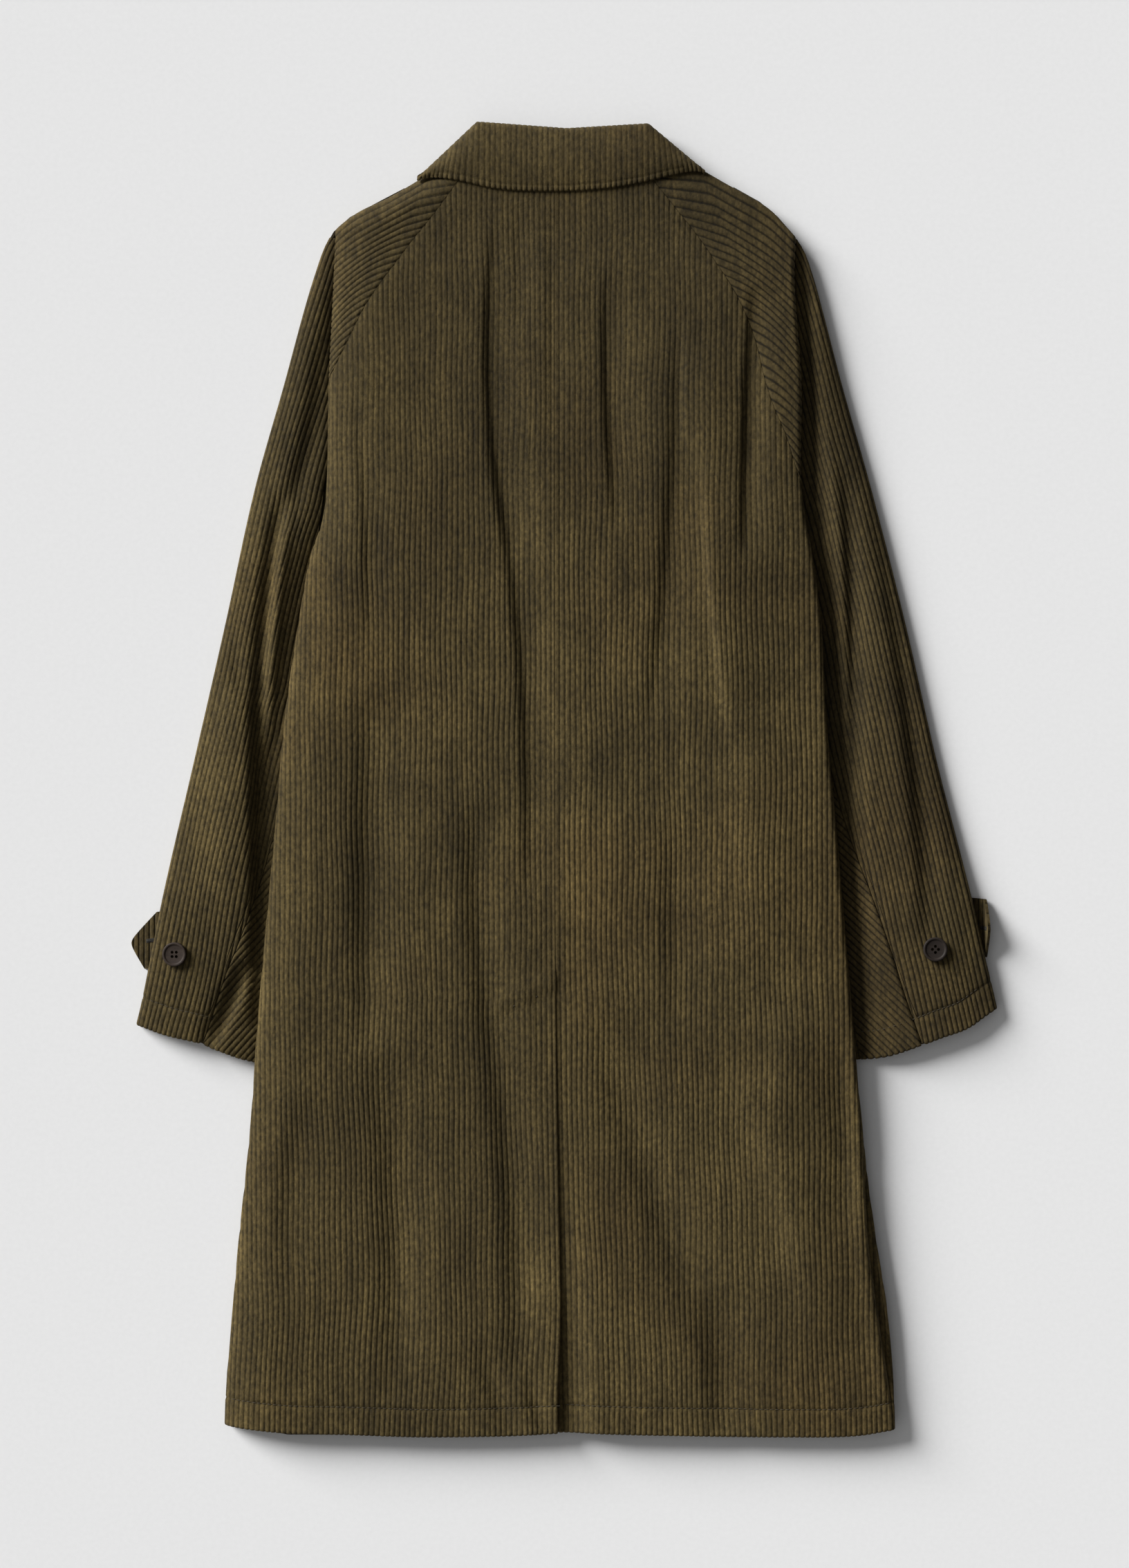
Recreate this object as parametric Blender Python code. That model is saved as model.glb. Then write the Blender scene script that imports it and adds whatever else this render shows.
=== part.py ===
"""A long wide-wale corduroy coat with raglan sleeves, laid on its front with the back up.

Every cut piece is a closed wall of cloth. The sizes and tables below are in millimetres and the
finished meshes are in metres, with +Z up, +Y towards the collar and the floor at z = 0.
"""
import math
from collections import namedtuple

import bmesh
import bpy
import numpy as np
from mathutils import Vector
from mathutils.geometry import delaunay_2d_cdt

MM = 0.001
MIDDLE = (-0.253, -0.743, 0.0)   # middle of the finished coat's outline, which becomes the origin

# Cloth
WALE = 4.33            # width of one corduroy wale with its groove
WALE_HEIGHT = 0.8      # a wale over its groove
CLOTH = 1.3            # cloth under the grooves
PLAIN = 2.0            # cloth where it lies face down
SEAM = 0.3             # gap between two pieces at a seam
LINES_PER_WALE = 2     # one line along each groove and one along each ridge
INSIDE_EVERY = 10      # the plain inside keeps at least one line in this many
INSIDE_ABOVE = 0.3     # how far it may cut across the foot of a fold
INSIDE_BELOW = 1.2     # how far it may stay under the crest of a fold
SHARP_ANGLE = math.radians(50)   # edges sharper than this are not shaded smooth

# Edges and layers
EDGE_ROUND = 4.0       # how far a rounded edge reaches in from the outline
EDGE_FALL = 4.0        # how far it falls to the seam
SIDE_SLOPE = 85.0      # width over which the back rises from its sides to its crown
SLEEVE_IN = 5.5        # height of a sleeve where the body lies on it
SLEEVE_ROUND = 3.5     # rounding of a sleeve's outer edge
INNER_ROUND = 2.0      # rounding of its inner edge, hidden under the body
FLOOR_LAYER = PLAIN / 2
FRONT_LAP = 38.0       # how far each front reaches past the middle

# Collar
COLLAR_ROLL = 18.0     # height of the roll of the collar
COLLAR_PUFF = 3.0      # swell of the fall between its roll and its edge
COLLAR_OVER = 3.0      # collar over the back panels
COLLAR_FALL = 6.0      # rounding of the roll
COLLAR_UNDER = 2.8     # how far the fronts rise over the ends of the collar

# Vent
VENT_TOP = -173.0
VENT_DIP = 3.6         # the right panel under the left one
VENT_LAP = 45.0        # width of the underlap
VENT_SLANT = 0.36      # slope of its top edge

# Straps and buttons
STRAP_THICK = 2.2
STRAP_POINT = 15.0     # length of the pointed end
STRAP_BEND = 9.0       # radius of the bend in the strap that stands up
BUTTON_RADIUS = 10.0
BUTTON_THICK = 3.6
BUTTON_EDGE = 0.9      # rounding of the outer edge
BUTTON_RIM = 1.7
BUTTON_DISH = 0.8      # depth of the middle under the rim
BUTTON_HOLE = 1.0
HOLE_OFFSET = 2.5      # from the button's middle to each hole
BUTTON_SEGMENTS = 20
HOLE_SEGMENTS = 6

# Widths are measured out from the middle line x = 0, left and right.
Body = namedtuple("Body", "y left right edge crown")
BODY = [
    Body(503, 189.0, 191.0, 12.0, 17.5),
    Body(450, 189.0, 191.0, 12.5, 18.0),
    Body(415, 190.0, 189.5, 15.0, 20.0),
    Body(372, 192.0, 192.0, 16.0, 21.0),
    Body(330, 194.0, 195.0, 16.0, 22.0),
    Body(240, 196.0, 195.5, 16.0, 22.5),
    Body(212, 199.5, 199.0, 16.0, 22.5),
    Body(186, 208.5, 204.0, 16.0, 22.5),
    Body(129, 219.0, 211.5, 16.0, 22.5),
    Body(53, 230.0, 215.5, 16.0, 22.0),
    Body(-42, 238.5, 224.0, 16.0, 21.5),
    Body(-156, 249.0, 234.0, 16.0, 21.0),
    Body(-215, 254.0, 239.0, 16.0, 20.5),
    Body(-243, 255.8, 241.3, 15.8, 20.0),
    Body(-290, 259.3, 246.0, 11.0, 18.0),
    Body(-327, 263.0, 250.0, 9.4, 17.5),
    Body(-384, 269.0, 258.0, 9.2, 17.0),
    Body(-441, 274.0, 267.0, 9.2, 16.5),
    Body(-498, 279.0, 272.0, 9.2, 16.0),
    Body(-548, 281.0, 273.0, 9.2, 16.0),
]

# Outer outline of the sleeves, from the neck over the shoulder to the cuff, and their fullness.
Sleeve = namedtuple("Sleeve", "y left right full out")
SLEEVE = [
    Sleeve(503, 105.0, 111.0, 0.0, 12.5),
    Sleeve(490, 128.0, 135.5, 0.0, 12.5),
    Sleeve(480, 147.0, 155.5, 0.0, 12.5),
    Sleeve(470, 168.5, 170.5, 0.0, 12.5),
    Sleeve(460, 183.0, 180.0, 0.0, 12.5),
    Sleeve(452, 191.0, 187.0, 0.0, 12.0),
    Sleeve(442, 197.0, 195.0, 0.5, 11.0),
    Sleeve(414, 207.0, 206.0, 2.0, 9.5),
    Sleeve(385, 215.5, 214.0, 4.0, 8.5),
    Sleeve(328, 231.0, 229.0, 5.5, 8.0),
    Sleeve(243, 255.0, 253.0, 6.5, 8.0),
    Sleeve(129, 280.0, 282.0, 7.0, 8.0),
    Sleeve(15, 306.0, 308.0, 7.5, 8.0),
    Sleeve(-71, 326.0, 330.0, 7.5, 8.8),
    Sleeve(-104, 333.0, 338.0, 7.0, 10.5),
    Sleeve(-144, 341.0, 347.0, 6.5, 10.5),
    Sleeve(-190, 350.5, 358.0, 6.5, 8.8),
    Sleeve(-204, 354.0, 361.0, 6.5, 8.4),
    Sleeve(-245, 362.0, 369.0, 6.5, 8.0),
]

# The hidden inner edge of each sleeve, under the body.
Inner = namedtuple("Inner", "y left right")
INNER = [
    Inner(330, 180.0, 181.0),
    Inner(240, 183.0, 181.0),
    Inner(129, 205.0, 197.0),
    Inner(-42, 223.0, 211.0),
    Inner(-156, 232.0, 226.0),
    Inner(-205, 235.5, 237.5),
    Inner(-245, 238.0, 244.0),
]

Curve = namedtuple("Curve", "y x")
RAGLAN = {
    "left": [
        Curve(503, 79.0), Curve(490, 89.5), Curve(466, 107.0), Curve(445, 124.0), Curve(425, 139.0),
        Curve(406, 153.0), Curve(388, 165.0), Curve(368, 175.0), Curve(352, 183.0), Curve(339, 189.5),
        Curve(331, 193.9),
    ],
    "right": [
        Curve(503, 66.0), Curve(490, 76.0), Curve(466, 95.0), Curve(445, 111.5), Curve(425, 125.0),
        Curve(406, 137.5), Curve(388, 147.0), Curve(363, 157.0), Curve(328, 165.5), Curve(305, 173.0),
        Curve(283, 182.5), Curve(263, 188.7), Curve(241, 195.4),
    ],
}
UNDERARM = {
    "left": [
        Curve(330, 187.0), Curve(129, 213.0), Curve(0, 231.0), Curve(-60, 244.0), Curve(-108, 258.5),
        Curve(-137, 269.0), Curve(-161, 279.0), Curve(-194, 290.0), Curve(-225, 300.5),
    ],
    "right": [
        Curve(240, 188.0), Curve(129, 205.0), Curve(0, 222.0), Curve(-56, 239.0), Curve(-94, 253.0),
        Curve(-135, 267.5), Curve(-181, 282.0), Curve(-225, 297.5),
    ],
}
CENTRE_BACK = [Curve(503, -8.4), Curve(0, -8.0), Curve(VENT_TOP, -7.4), Curve(-548, -0.5)]

Across = namedtuple("Across", "x y")
CUFF = {
    "left": [Across(362, -201), Across(354, -203.5), Across(330, -211.5), Across(299, -219.5),
             Across(276, -229), Across(256, -235), Across(230, -240)],
    "right": [Across(366, -185), Across(358, -190), Across(335, -205.5), Across(312, -214),
              Across(294, -221), Across(266, -230), Across(236, -233)],
}
HEM = [
    Across(-283, -534), Across(-260, -537), Across(-226, -540), Across(-180, -541), Across(-112, -543),
    Across(-43, -542), Across(2, -540), Across(71, -541.5), Across(185, -543), Across(242, -542),
    Across(275, -537),
]
FRONT_HEM = [
    Across(-283, -533), Across(-255, -538), Across(-225, -543.5), Across(-180, -543.5), Across(-140, -542),
    Across(-90, -545.5), Across(-55, -542), Across(0, -538), Across(275, -536),
]
NECK = [Across(-82, 503), Across(-40, 499), Across(0, 497.5), Across(40, 499), Across(82, 503)]
COLLAR_LOW = [
    Across(-124, 492.5), Across(-110, 495.5), Across(-91, 493.5), Across(-55, 486), Across(-5, 484),
    Across(36, 486.5), Across(63, 491), Across(90, 497.5), Across(108, 500.5), Across(119, 498.5),
]
COLLAR_TOP = [
    Across(-124, 493.5), Across(-72, 542), Across(2, 536.5), Across(69.5, 540.5), Across(119, 499.5),
]

# Folds run down the cloth: a negative depth is a trough, a positive one a ridge.
Fold = namedtuple("Fold", "y_top y_end x_top x_mid x_end depth left right")
BACK_FOLDS = [
    Fold(440, -90, -62, -45, -29, -3.6, 24, 11),
    Fold(400, -20, -46, -30, -14, 2.2, 13, 26),
    Fold(430, 140, 95, 87, 66, -3.0, 18, 9),
    Fold(410, 60, 96, 108, 123, 3.0, 10, 22),
    Fold(385, 215, 148, 147, 144, -2.8, 10, 8),
    Fold(400, 220, 158, 160, 158, 2.0, 7, 12),
    Fold(80, -200, -167, -170, -172, -2.6, 16, 16),
    Fold(-50, -215, -82, -74, -62, -2.0, 18, 14),
    Fold(-240, -520, -139, -143, -147, -2.0, 24, 20),
    Fold(-260, -450, -48, -52, -55, -1.6, 18, 18),
    Fold(-220, -330, 76, 78, 79, -1.6, 20, 16),
    Fold(-230, -410, 150, 168, 182, 2.4, 22, 20),
    Fold(-330, -520, 134, 128, 120, -2.0, 22, 20),
    Fold(-300, -505, 252, 259, 270, -4.5, 4, 10),
]
SLEEVE_FOLDS = {
    "left": [
        Fold(300, 195, -205, -226, -243, -3.5, 10, 9),
        Fold(225, -60, -243, -247, -252, -4.5, 12, 8),
        Fold(200, -10, -231, -237, -243, 3.0, 6, 6),
        Fold(-90, -215, -262, -282, -300, -2.0, 10, 8),
    ],
    "right": [
        Fold(330, 100, 212, 224, 233, 2.5, 8, 8),
        Fold(140, -20, 233, 236, 239, -3.0, 8, 9),
        Fold(170, -120, 258, 275, 295, 3.0, 12, 10),
        Fold(150, -80, 274, 286, 302, -2.4, 10, 14),
    ],
}

# Straps at the cuffs: root and bend are distances out from the middle line, turn is in radians.
Strap = namedtuple("Strap", "y root bend length wide slope turn")
STRAPS = {
    "left": Strap(-129.0, 300.0, 335.0, 58.5, 46.0, -0.12, 0.0),
    "right": Strap(-119.0, 300.0, 344.0, 66.0, 48.0, -0.1, 1.25),
}
Button = namedtuple("Button", "x y spin")
BUTTONS = {"left": Button(-321, -145, 45), "right": Button(306, -141, 0)}

# One end of the collar, folded under: roll, side, point and edge are its corners, measured out.
CollarEnd = namedtuple("CollarEnd", "roll_x roll_y side_x side_y point_x point_y edge_x edge_y")
COLLAR_END = CollarEnd(70, 538, 110, 502, 66, 428, 16, 452)

# The halves of the coat: top of the shoulder fold, and where raglan seam and side meet
Half = namedtuple("Half", "name sign apex meet yoke_wales")
LEFT = Half("left", -1, 451.0, 331.0, 23)
RIGHT = Half("right", 1, 448.0, 241.0, 29)
HALVES = (LEFT, RIGHT)

Stripe = namedtuple("Stripe", "points ridge")


# Reading the tables

def column(table, name):
    return np.array([getattr(row, name) for row in table], dtype=float)


def along(table, name, at, key="y"):
    """Smooth reading of a table's column, with no overshoot between its rows."""
    keys, values = column(table, key), column(table, name)
    order = np.argsort(keys)
    keys, values = keys[order], values[order]
    spans = np.diff(keys)
    slopes = np.diff(values) / spans
    tangents = np.concatenate(([slopes[0]], (slopes[:-1] + slopes[1:]) / 2, [slopes[-1]]))
    tangents[1:-1][slopes[:-1] * slopes[1:] <= 0] = 0
    at = np.clip(np.asarray(at, dtype=float), keys[0], keys[-1])
    i = np.clip(np.searchsorted(keys, at) - 1, 0, len(spans) - 1)
    t = (at - keys[i]) / spans[i]
    rise = (3 - 2 * t) * t * t
    return (values[i] * (1 - rise) + values[i + 1] * rise
            + spans[i] * t * (1 - t) * (tangents[i] * (1 - t) - tangents[i + 1] * t))


def ease(t):
    t = np.clip(t, 0, 1)
    return t * t * (3 - 2 * t)


def edge_fall(distance, reach, fall):
    """How far a rounded edge has fallen at a distance in from the outline."""
    t = np.clip(0.985 - distance / reach, 0, 0.995)
    return fall * (1 - np.sqrt(1 - t * t))


def fold_height(folds, x, y):
    total = np.zeros(np.broadcast(x, y).shape)
    for fold in folds:
        t = np.clip((fold.y_top - y) / (fold.y_top - fold.y_end), 0, 1)
        centre = ((1 - t) * (1 - 2 * t) * fold.x_top + 4 * t * (1 - t) * fold.x_mid
                  + t * (2 * t - 1) * fold.x_end)
        off = x - centre
        wide = np.where(off < 0, fold.left, fold.right)
        total = total + fold.depth * np.sin(np.pi * t) ** 0.6 * np.exp(-(off / wide) ** 2)
    return total


# The coat's surfaces, as heights over the floor

def body_edge(half, y):
    """Side of the body, and above it the fold at the shoulder and the shoulder line."""
    return np.minimum(along(BODY, half.name, y), along(SLEEVE, half.name, y))


def top_height(x, y):
    """Back panels and the shoulders of the sleeves."""
    inside = np.minimum(body_edge(LEFT, y) + x, body_edge(RIGHT, y) - x)
    low, high = along(BODY, "edge", y), along(BODY, "crown", y)
    swell = 1 - (1 - np.clip(inside / SIDE_SLOPE, 0, 1)) ** 2.2
    folds = fold_height(BACK_FOLDS, x, y) * np.clip(inside / 12, 0, 1)
    return low + (high - low) * swell + folds - edge_fall(inside, EDGE_ROUND, EDGE_FALL)


def vent_height(x, y):
    """The right back panel dips under the left one along the vent."""
    beside = x - along(CENTRE_BACK, "x", y)
    return top_height(x, y) - VENT_DIP * ease((VENT_TOP + 24 - y) / 24) * (1 - ease(beside / 14))


def sleeve_height(half):
    """Height of the hanging part of one sleeve."""
    def height(x, y):
        outer = along(SLEEVE, half.name, y)
        inside = outer - half.sign * x
        rest = np.maximum(along(BODY, half.name, y), along(INNER, half.name, y))
        t = np.clip(inside / np.maximum(outer - rest, 1.0), 0, 1)
        swell = along(SLEEVE, "full", y) * np.sin(np.pi * t) ** 0.75
        folds = fold_height(SLEEVE_FOLDS[half.name], x, y) * ease(4 * t) * ease(4 * (1 - t))
        low = SLEEVE_IN + 4.5 * ease((y - 385) / 60)
        return (low * t + along(SLEEVE, "out", y) * (1 - t) + swell + folds
                - edge_fall(inside, SLEEVE_ROUND, SLEEVE_ROUND))
    return height


def collar_edge_distance(x, y):
    """Distance in from the roll and the sloping sides of the collar."""
    nearest = np.full(np.broadcast(x, y).shape, np.inf)
    for a, b in zip(COLLAR_TOP[:-1], COLLAR_TOP[1:]):
        run = np.array([b.x - a.x, b.y - a.y])
        t = np.clip(((x - a.x) * run[0] + (y - a.y) * run[1]) / (run @ run), 0, 1)
        nearest = np.minimum(nearest, np.hypot(x - a.x - t * run[0], y - a.y - t * run[1]))
    return nearest


def collar_height(x, y):
    low = along(COLLAR_LOW, "y", x, "x")
    high = np.interp(x, column(COLLAR_TOP, "x"), column(COLLAR_TOP, "y"))
    v = np.clip((y - low) / np.maximum(high - low, 1), 0, 1)
    rest = top_height(x, np.minimum(low, 500)) + COLLAR_OVER
    roll = COLLAR_ROLL - 3 * ease((np.abs(x) - 60) / 60)
    return ((1 - v) * rest + v * roll + COLLAR_PUFF * np.sin(np.pi * v)
            - edge_fall(collar_edge_distance(x, y), 5.0, COLLAR_FALL))


def collar_room(x, y):
    """The fronts rise over the ends of the collar that lie beneath them."""
    return COLLAR_UNDER * ease((y - 360) / 50) * (1 - ease((np.abs(x) - 110) / 14))


def strap_centre(strap):
    return strap.y + strap.slope * 25


def strap_room(half, x, y):
    """The front of a sleeve rises over its strap."""
    strap = STRAPS[half.name]
    across = 1 - ease((np.abs(y - strap_centre(strap)) - 28) / 14)
    return (STRAP_THICK + 0.5) * across * ease((half.sign * x - strap.root + 26) / 16)


def front_height(half):
    """A front: on the floor in the middle, over the sleeve at the side, up to the side seam."""
    def height(x, y):
        out = half.sign * x
        side = along(BODY, half.name, y) - 1.0
        edge = along(BODY, "edge", y)
        lift = edge - 2 * EDGE_FALL - FLOOR_LAYER
        ramp = ease((out - along(INNER, half.name, y) + 36) / 28) * ease((half.meet + 20 - y) / 50)
        rim = edge_fall(side - out, EDGE_ROUND, EDGE_FALL + 0.1) * ease((half.meet - 10 - y) / 20)
        lap = (PLAIN + 0.4 if half is RIGHT else 0.0) * (1 - ease((out - FRONT_LAP - 2) / 20))
        return FLOOR_LAYER + lift * ramp + rim + lap + collar_room(x, y)
    return height


# Lines of the wales

def wale_lines(height, start, end, levels, count):
    """Plan positions of lines at equal steps along the cloth, from start to end at each level."""
    steps = np.arange(count) * WALE / LINES_PER_WALE
    rows = []
    for y in levels:
        x = np.linspace(start(y), end(y), 700)
        z = height(x, np.full_like(x, y))
        run = np.concatenate(([0], np.cumsum(np.hypot(np.diff(x), np.diff(z)))))
        beyond = np.maximum(steps - run[-1], 0)
        rows.append(np.interp(steps, run, x) + np.sign(x[-1] - x[0]) * beyond)
    return np.array(rows)


def cut_line(levels, xs, inside, bottom):
    """Bottom and top y of the part of one line that lies inside its panel, from the hem up."""
    low = bottom(np.interp(bottom(xs[0]), levels, xs))
    start = np.searchsorted(levels, low)
    free = np.array([inside(x, y) for x, y in zip(xs[start:], levels[start:])])
    past = np.nonzero(free < 0)[0]
    if len(past) == 0:
        return low, levels[-1]
    if past[0] == 0:
        return low, None
    i = past[0]
    t = free[i - 1] / (free[i - 1] - free[i])
    return low, levels[start + i - 1] + t * (levels[start + i] - levels[start + i - 1])


def points_between(levels, xs, low, top, stations, clear):
    ys = [top] + [y for y in stations if low + clear < y < top - clear] + [low]
    return np.array([(np.interp(y, levels, xs), y) for y in ys])


# Building walls

def normals(height, plan):
    step = 0.02
    x, y = plan[:, 0], plan[:, 1]
    dx = (height(x + step, y) - height(x - step, y)) / (2 * step)
    dy = (height(x, y + step) - height(x, y - step)) / (2 * step)
    n = np.stack([-np.clip(dx, -6, 6), -np.clip(dy, -6, 6), np.ones_like(x)], axis=1)
    return n / np.linalg.norm(n, axis=1)[:, None]


def fill(plan, loop, lines):
    """Triangles inside a loop of points in plan that keep the given lines."""
    flat = [Vector((float(p[0]), float(p[1]))) for p in plan]
    out = delaunay_2d_cdt(flat, lines, [loop], 0, 1e-5, True)
    given = [ids[0] for ids in out[3]]
    return [tuple(given[i] for i in face) for face, parts in zip(out[2], out[5]) if parts]


def counter_clockwise(plan, loop):
    x, y = plan[loop].T
    area = np.sum(x * np.roll(y, -1) - y * np.roll(x, -1))
    return loop if area > 0 else loop[::-1]


def ring_edges(loop):
    return [(loop[i], loop[(i + 1) % len(loop)]) for i in range(len(loop))]


def mesh_object(name, vertices, faces):
    mesh = bpy.data.meshes.new(name)
    mesh.from_pydata([tuple(v) for v in (np.asarray(vertices) - MIDDLE) * MM], [], faces)
    bm = bmesh.new()
    bm.from_mesh(mesh)
    bmesh.ops.triangulate(bm, faces=bm.faces[:])
    bmesh.ops.recalc_face_normals(bm, faces=bm.faces[:])
    if bm.calc_volume(signed=True) < 0:
        bmesh.ops.reverse_faces(bm, faces=bm.faces[:])
    bm.to_mesh(mesh)
    bm.free()
    mesh.shade_smooth()
    mesh.set_sharp_from_angle(angle=SHARP_ANGLE)
    piece = bpy.data.objects.new(name, mesh)
    bpy.context.scene.collection.objects.link(piece)
    return piece


def wall(name, plan, base, normal, raised, loop, lines, inner_keep, thick, above=0.0):
    """Close a sheet into a wall: ridged on its outside, plain on its inside."""
    outer = base + normal * (above + raised)[:, None]
    inner = base - normal * (thick - above)
    loop = counter_clockwise(plan, loop)
    outside = fill(plan, loop, lines)
    keep = sorted(set(loop) | set(inner_keep))
    place = {v: i for i, v in enumerate(keep)}
    kept_lines = [(place[a], place[b]) for a, b in lines if a in place and b in place]
    inside = fill(plan[keep], [place[v] for v in loop], kept_lines)
    count = len(plan)
    vertices = np.concatenate([outer, inner[keep]])
    faces = list(outside)
    faces += [tuple(count + i for i in reversed(face)) for face in inside]
    faces += [(a, b, count + place[b], count + place[a]) for a, b in ring_edges(loop)]
    used = sorted({v for face in faces for v in face})
    number = {v: i for i, v in enumerate(used)}
    return mesh_object(name, vertices[used], [tuple(number[v] for v in face) for face in faces])


def gather(stripes):
    """One array of all points, and for each stripe the numbers of its points."""
    numbers, start = [], 0
    for stripe in stripes:
        numbers.append(list(range(start, start + len(stripe.points))))
        start += len(stripe.points)
    plan = np.concatenate([stripe.points for stripe in stripes])
    raised = np.concatenate([np.full(len(s.points), WALE_HEIGHT * s.ridge) for s in stripes])
    lines = [(a, b) for run in numbers for a, b in zip(run[:-1], run[1:])]
    return plan, raised, lines, numbers


def column_loop(numbers):
    """Outline of a panel whose lines lie side by side."""
    starts = [run[0] for run in numbers[1:-1]]
    ends = [run[-1] for run in numbers[1:-1]]
    return numbers[0] + ends + numbers[-1][::-1] + starts[::-1]


def inside_lines(stripes, height):
    """Numbers of the lines that the plain inside keeps to follow the folds."""
    levels = np.linspace(-548, 548, 120)
    rows = []
    for stripe in stripes:
        x, y = stripe.points[::-1].T
        z = height(x, y)
        rows.append([np.interp(levels, y, v, left=np.nan, right=np.nan) for v in (x, z)])

    def follows(first, last):
        (x0, z0), (x1, z1) = rows[first], rows[last]
        for x, z in rows[first + 1:last]:
            over = z0 + (z1 - z0) * (x - x0) / (x1 - x0) - z
            if np.any(over > INSIDE_ABOVE) or np.any(over < -INSIDE_BELOW):
                return False
        return True

    kept = [0]
    while kept[-1] < len(stripes) - 1:
        last = kept[-1] + 1
        while last + 1 < len(stripes) and last + 1 - kept[-1] <= INSIDE_EVERY and follows(kept[-1], last + 1):
            last += 1
        kept.append(last)
    return kept


def panel(name, stripes, height, loop_of=column_loop, thick=CLOTH, above=0.0):
    plan, raised, lines, numbers = gather(stripes)
    base = np.column_stack([plan, height(plan[:, 0], plan[:, 1])])
    kept = inside_lines(stripes, height) if raised.any() else range(len(stripes))
    keep = [v for k in kept for v in numbers[k]]
    return wall(name, plan, base, normals(height, plan), raised, loop_of(numbers), lines, keep, thick, above)


# Materials

def coloured(piece, colour, roughness):
    material = bpy.data.materials.new(piece.name)
    material.use_nodes = True
    shader = material.node_tree.nodes["Principled BSDF"]
    shader.inputs["Base Color"].default_value = (*colour, 1)
    shader.inputs["Roughness"].default_value = roughness
    shader.inputs["Metallic"].default_value = 0.0
    piece.data.materials.append(material)


OLIVE = (0.062, 0.047, 0.021)
BROWN = (0.012, 0.008, 0.006)


# Back panels

BACK_LEVELS = np.linspace(-548, 503, 141)
BACK_STATIONS = (420, 300, 160, 0, VENT_TOP, -290, -400, -490)
SIDE_STATIONS = (420, 300, 160, 0, -150, -243, -300, -400, -490)
SIDE_LINES = 0.6        # the share of the lines, from the middle out, that end the middle stations


def neck_y(x):
    return along(NECK, "y", x, "x")


def hem_y(x):
    return along(HEM, "y", x, "x")


def raglan(half, y):
    return along(RAGLAN[half.name], "x", y)


def back_bound(half, y):
    """How far out a back panel reaches: the raglan seam, and under it the side."""
    return np.where(y > half.meet, raglan(half, y) - SEAM / 2, body_edge(half, y))


def back_stripes(half):
    height = vent_height if half is RIGHT else top_height

    def seam_x(y):
        return float(along(CENTRE_BACK, "x", y)) + half.sign * SEAM / 2

    def side_x(y):
        return half.sign * float(body_edge(half, y))

    count = int(306 / WALE * LINES_PER_WALE)
    xs = wale_lines(height, seam_x, side_x, BACK_LEVELS, count)

    def inside(x, y):
        return min(float(back_bound(half, y)) - half.sign * x, float(neck_y(x)) - y)

    stripes = []
    for i in range(count):
        low, top = cut_line(BACK_LEVELS, xs[:, i], inside, lambda x: float(hem_y(x)))
        if top is None or top - low < 24:
            break
        stations = BACK_STATIONS if i < SIDE_LINES * count else SIDE_STATIONS
        points = points_between(BACK_LEVELS, xs[:, i], low, top, stations, 14)
        stripes.append(Stripe(points, i % LINES_PER_WALE))
    return stripes


def back_left():
    return panel("back_left", back_stripes(LEFT), top_height)


def back_right():
    """The right back panel carries the vent's underlap, set under the left panel."""
    main = back_stripes(RIGHT)
    lap = []
    for i in range(int(VENT_LAP / WALE), 0, -1):
        off = i * WALE
        top = VENT_TOP - VENT_SLANT * off
        ys = [top] + [y for y in BACK_STATIONS if y < top - 14]
        x = along(CENTRE_BACK, "x", np.array(ys)) + SEAM / 2 - off
        points = np.column_stack([x, ys])
        last = float(along(CENTRE_BACK, "x", -540)) - off
        lap.append(Stripe(np.vstack([points, [last, hem_y(last) + 2.0]]), 0))

    def loop_of(numbers):
        laps, panels = numbers[:len(lap)], numbers[len(lap):]
        seam_points = [v for v, p in zip(panels[0], main[0].points) if p[1] >= VENT_TOP - 0.01]
        loop = laps[0] + [run[-1] for run in laps[1:]] + [run[-1] for run in panels[:-1]]
        loop += panels[-1][::-1] + [run[0] for run in panels[1:-1]][::-1] + seam_points
        return loop + [run[0] for run in laps[1:]][::-1]

    return panel("back_right", lap + main, vent_height, loop_of)


# Sleeves

def polyline_at(points, fractions):
    points = np.asarray(points, dtype=float)
    run = np.concatenate(([0], np.cumsum(np.linalg.norm(np.diff(points, axis=0), axis=1))))
    at = np.asarray(fractions) * run[-1]
    return np.column_stack([np.interp(at, run, points[:, 0]), np.interp(at, run, points[:, 1])])


def yoke_stripes(half):
    """Wales of the shoulder, from the raglan seam to the fold at the shoulder point."""
    ys = np.linspace(500, half.meet + 1, 60)
    seam = np.column_stack([half.sign * (raglan(half, ys) + SEAM / 2), ys])
    ys = np.linspace(half.apex, half.meet - 3, 60)
    fold = np.column_stack([half.sign * body_edge(half, ys), ys])
    ys = np.linspace(500, half.apex, 60)
    shoulder = np.vstack([seam[:1], np.column_stack([half.sign * body_edge(half, ys), ys])])
    count = half.yoke_wales * LINES_PER_WALE
    stripes = []
    for i in range(count + 1):
        q = 0.97 * i / count
        a, b = polyline_at(seam, [q])[0], polyline_at(fold, [q])[0]
        length = np.linalg.norm(b - a)
        near = [1 - d / length for d in (4.0, 1.3) if length > 12]
        t = np.array([0.0] + [0.35, 0.7][:2 if length > 40 else 0] + near + [1.0])
        straight = a + t[:, None] * (b - a)
        outline = polyline_at(shoulder, t)
        first = seam[0] + t[:, None] * (fold[0] - seam[0])
        bow = (1 - q) ** 6 * (outline - first)
        lift = np.column_stack([0 * t, 5.0 * np.sin(np.pi * t) * np.sin(np.pi * q) * min(1, length / 60)])
        stripes.append(Stripe(straight + bow + lift, i % LINES_PER_WALE))
    return stripes


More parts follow.
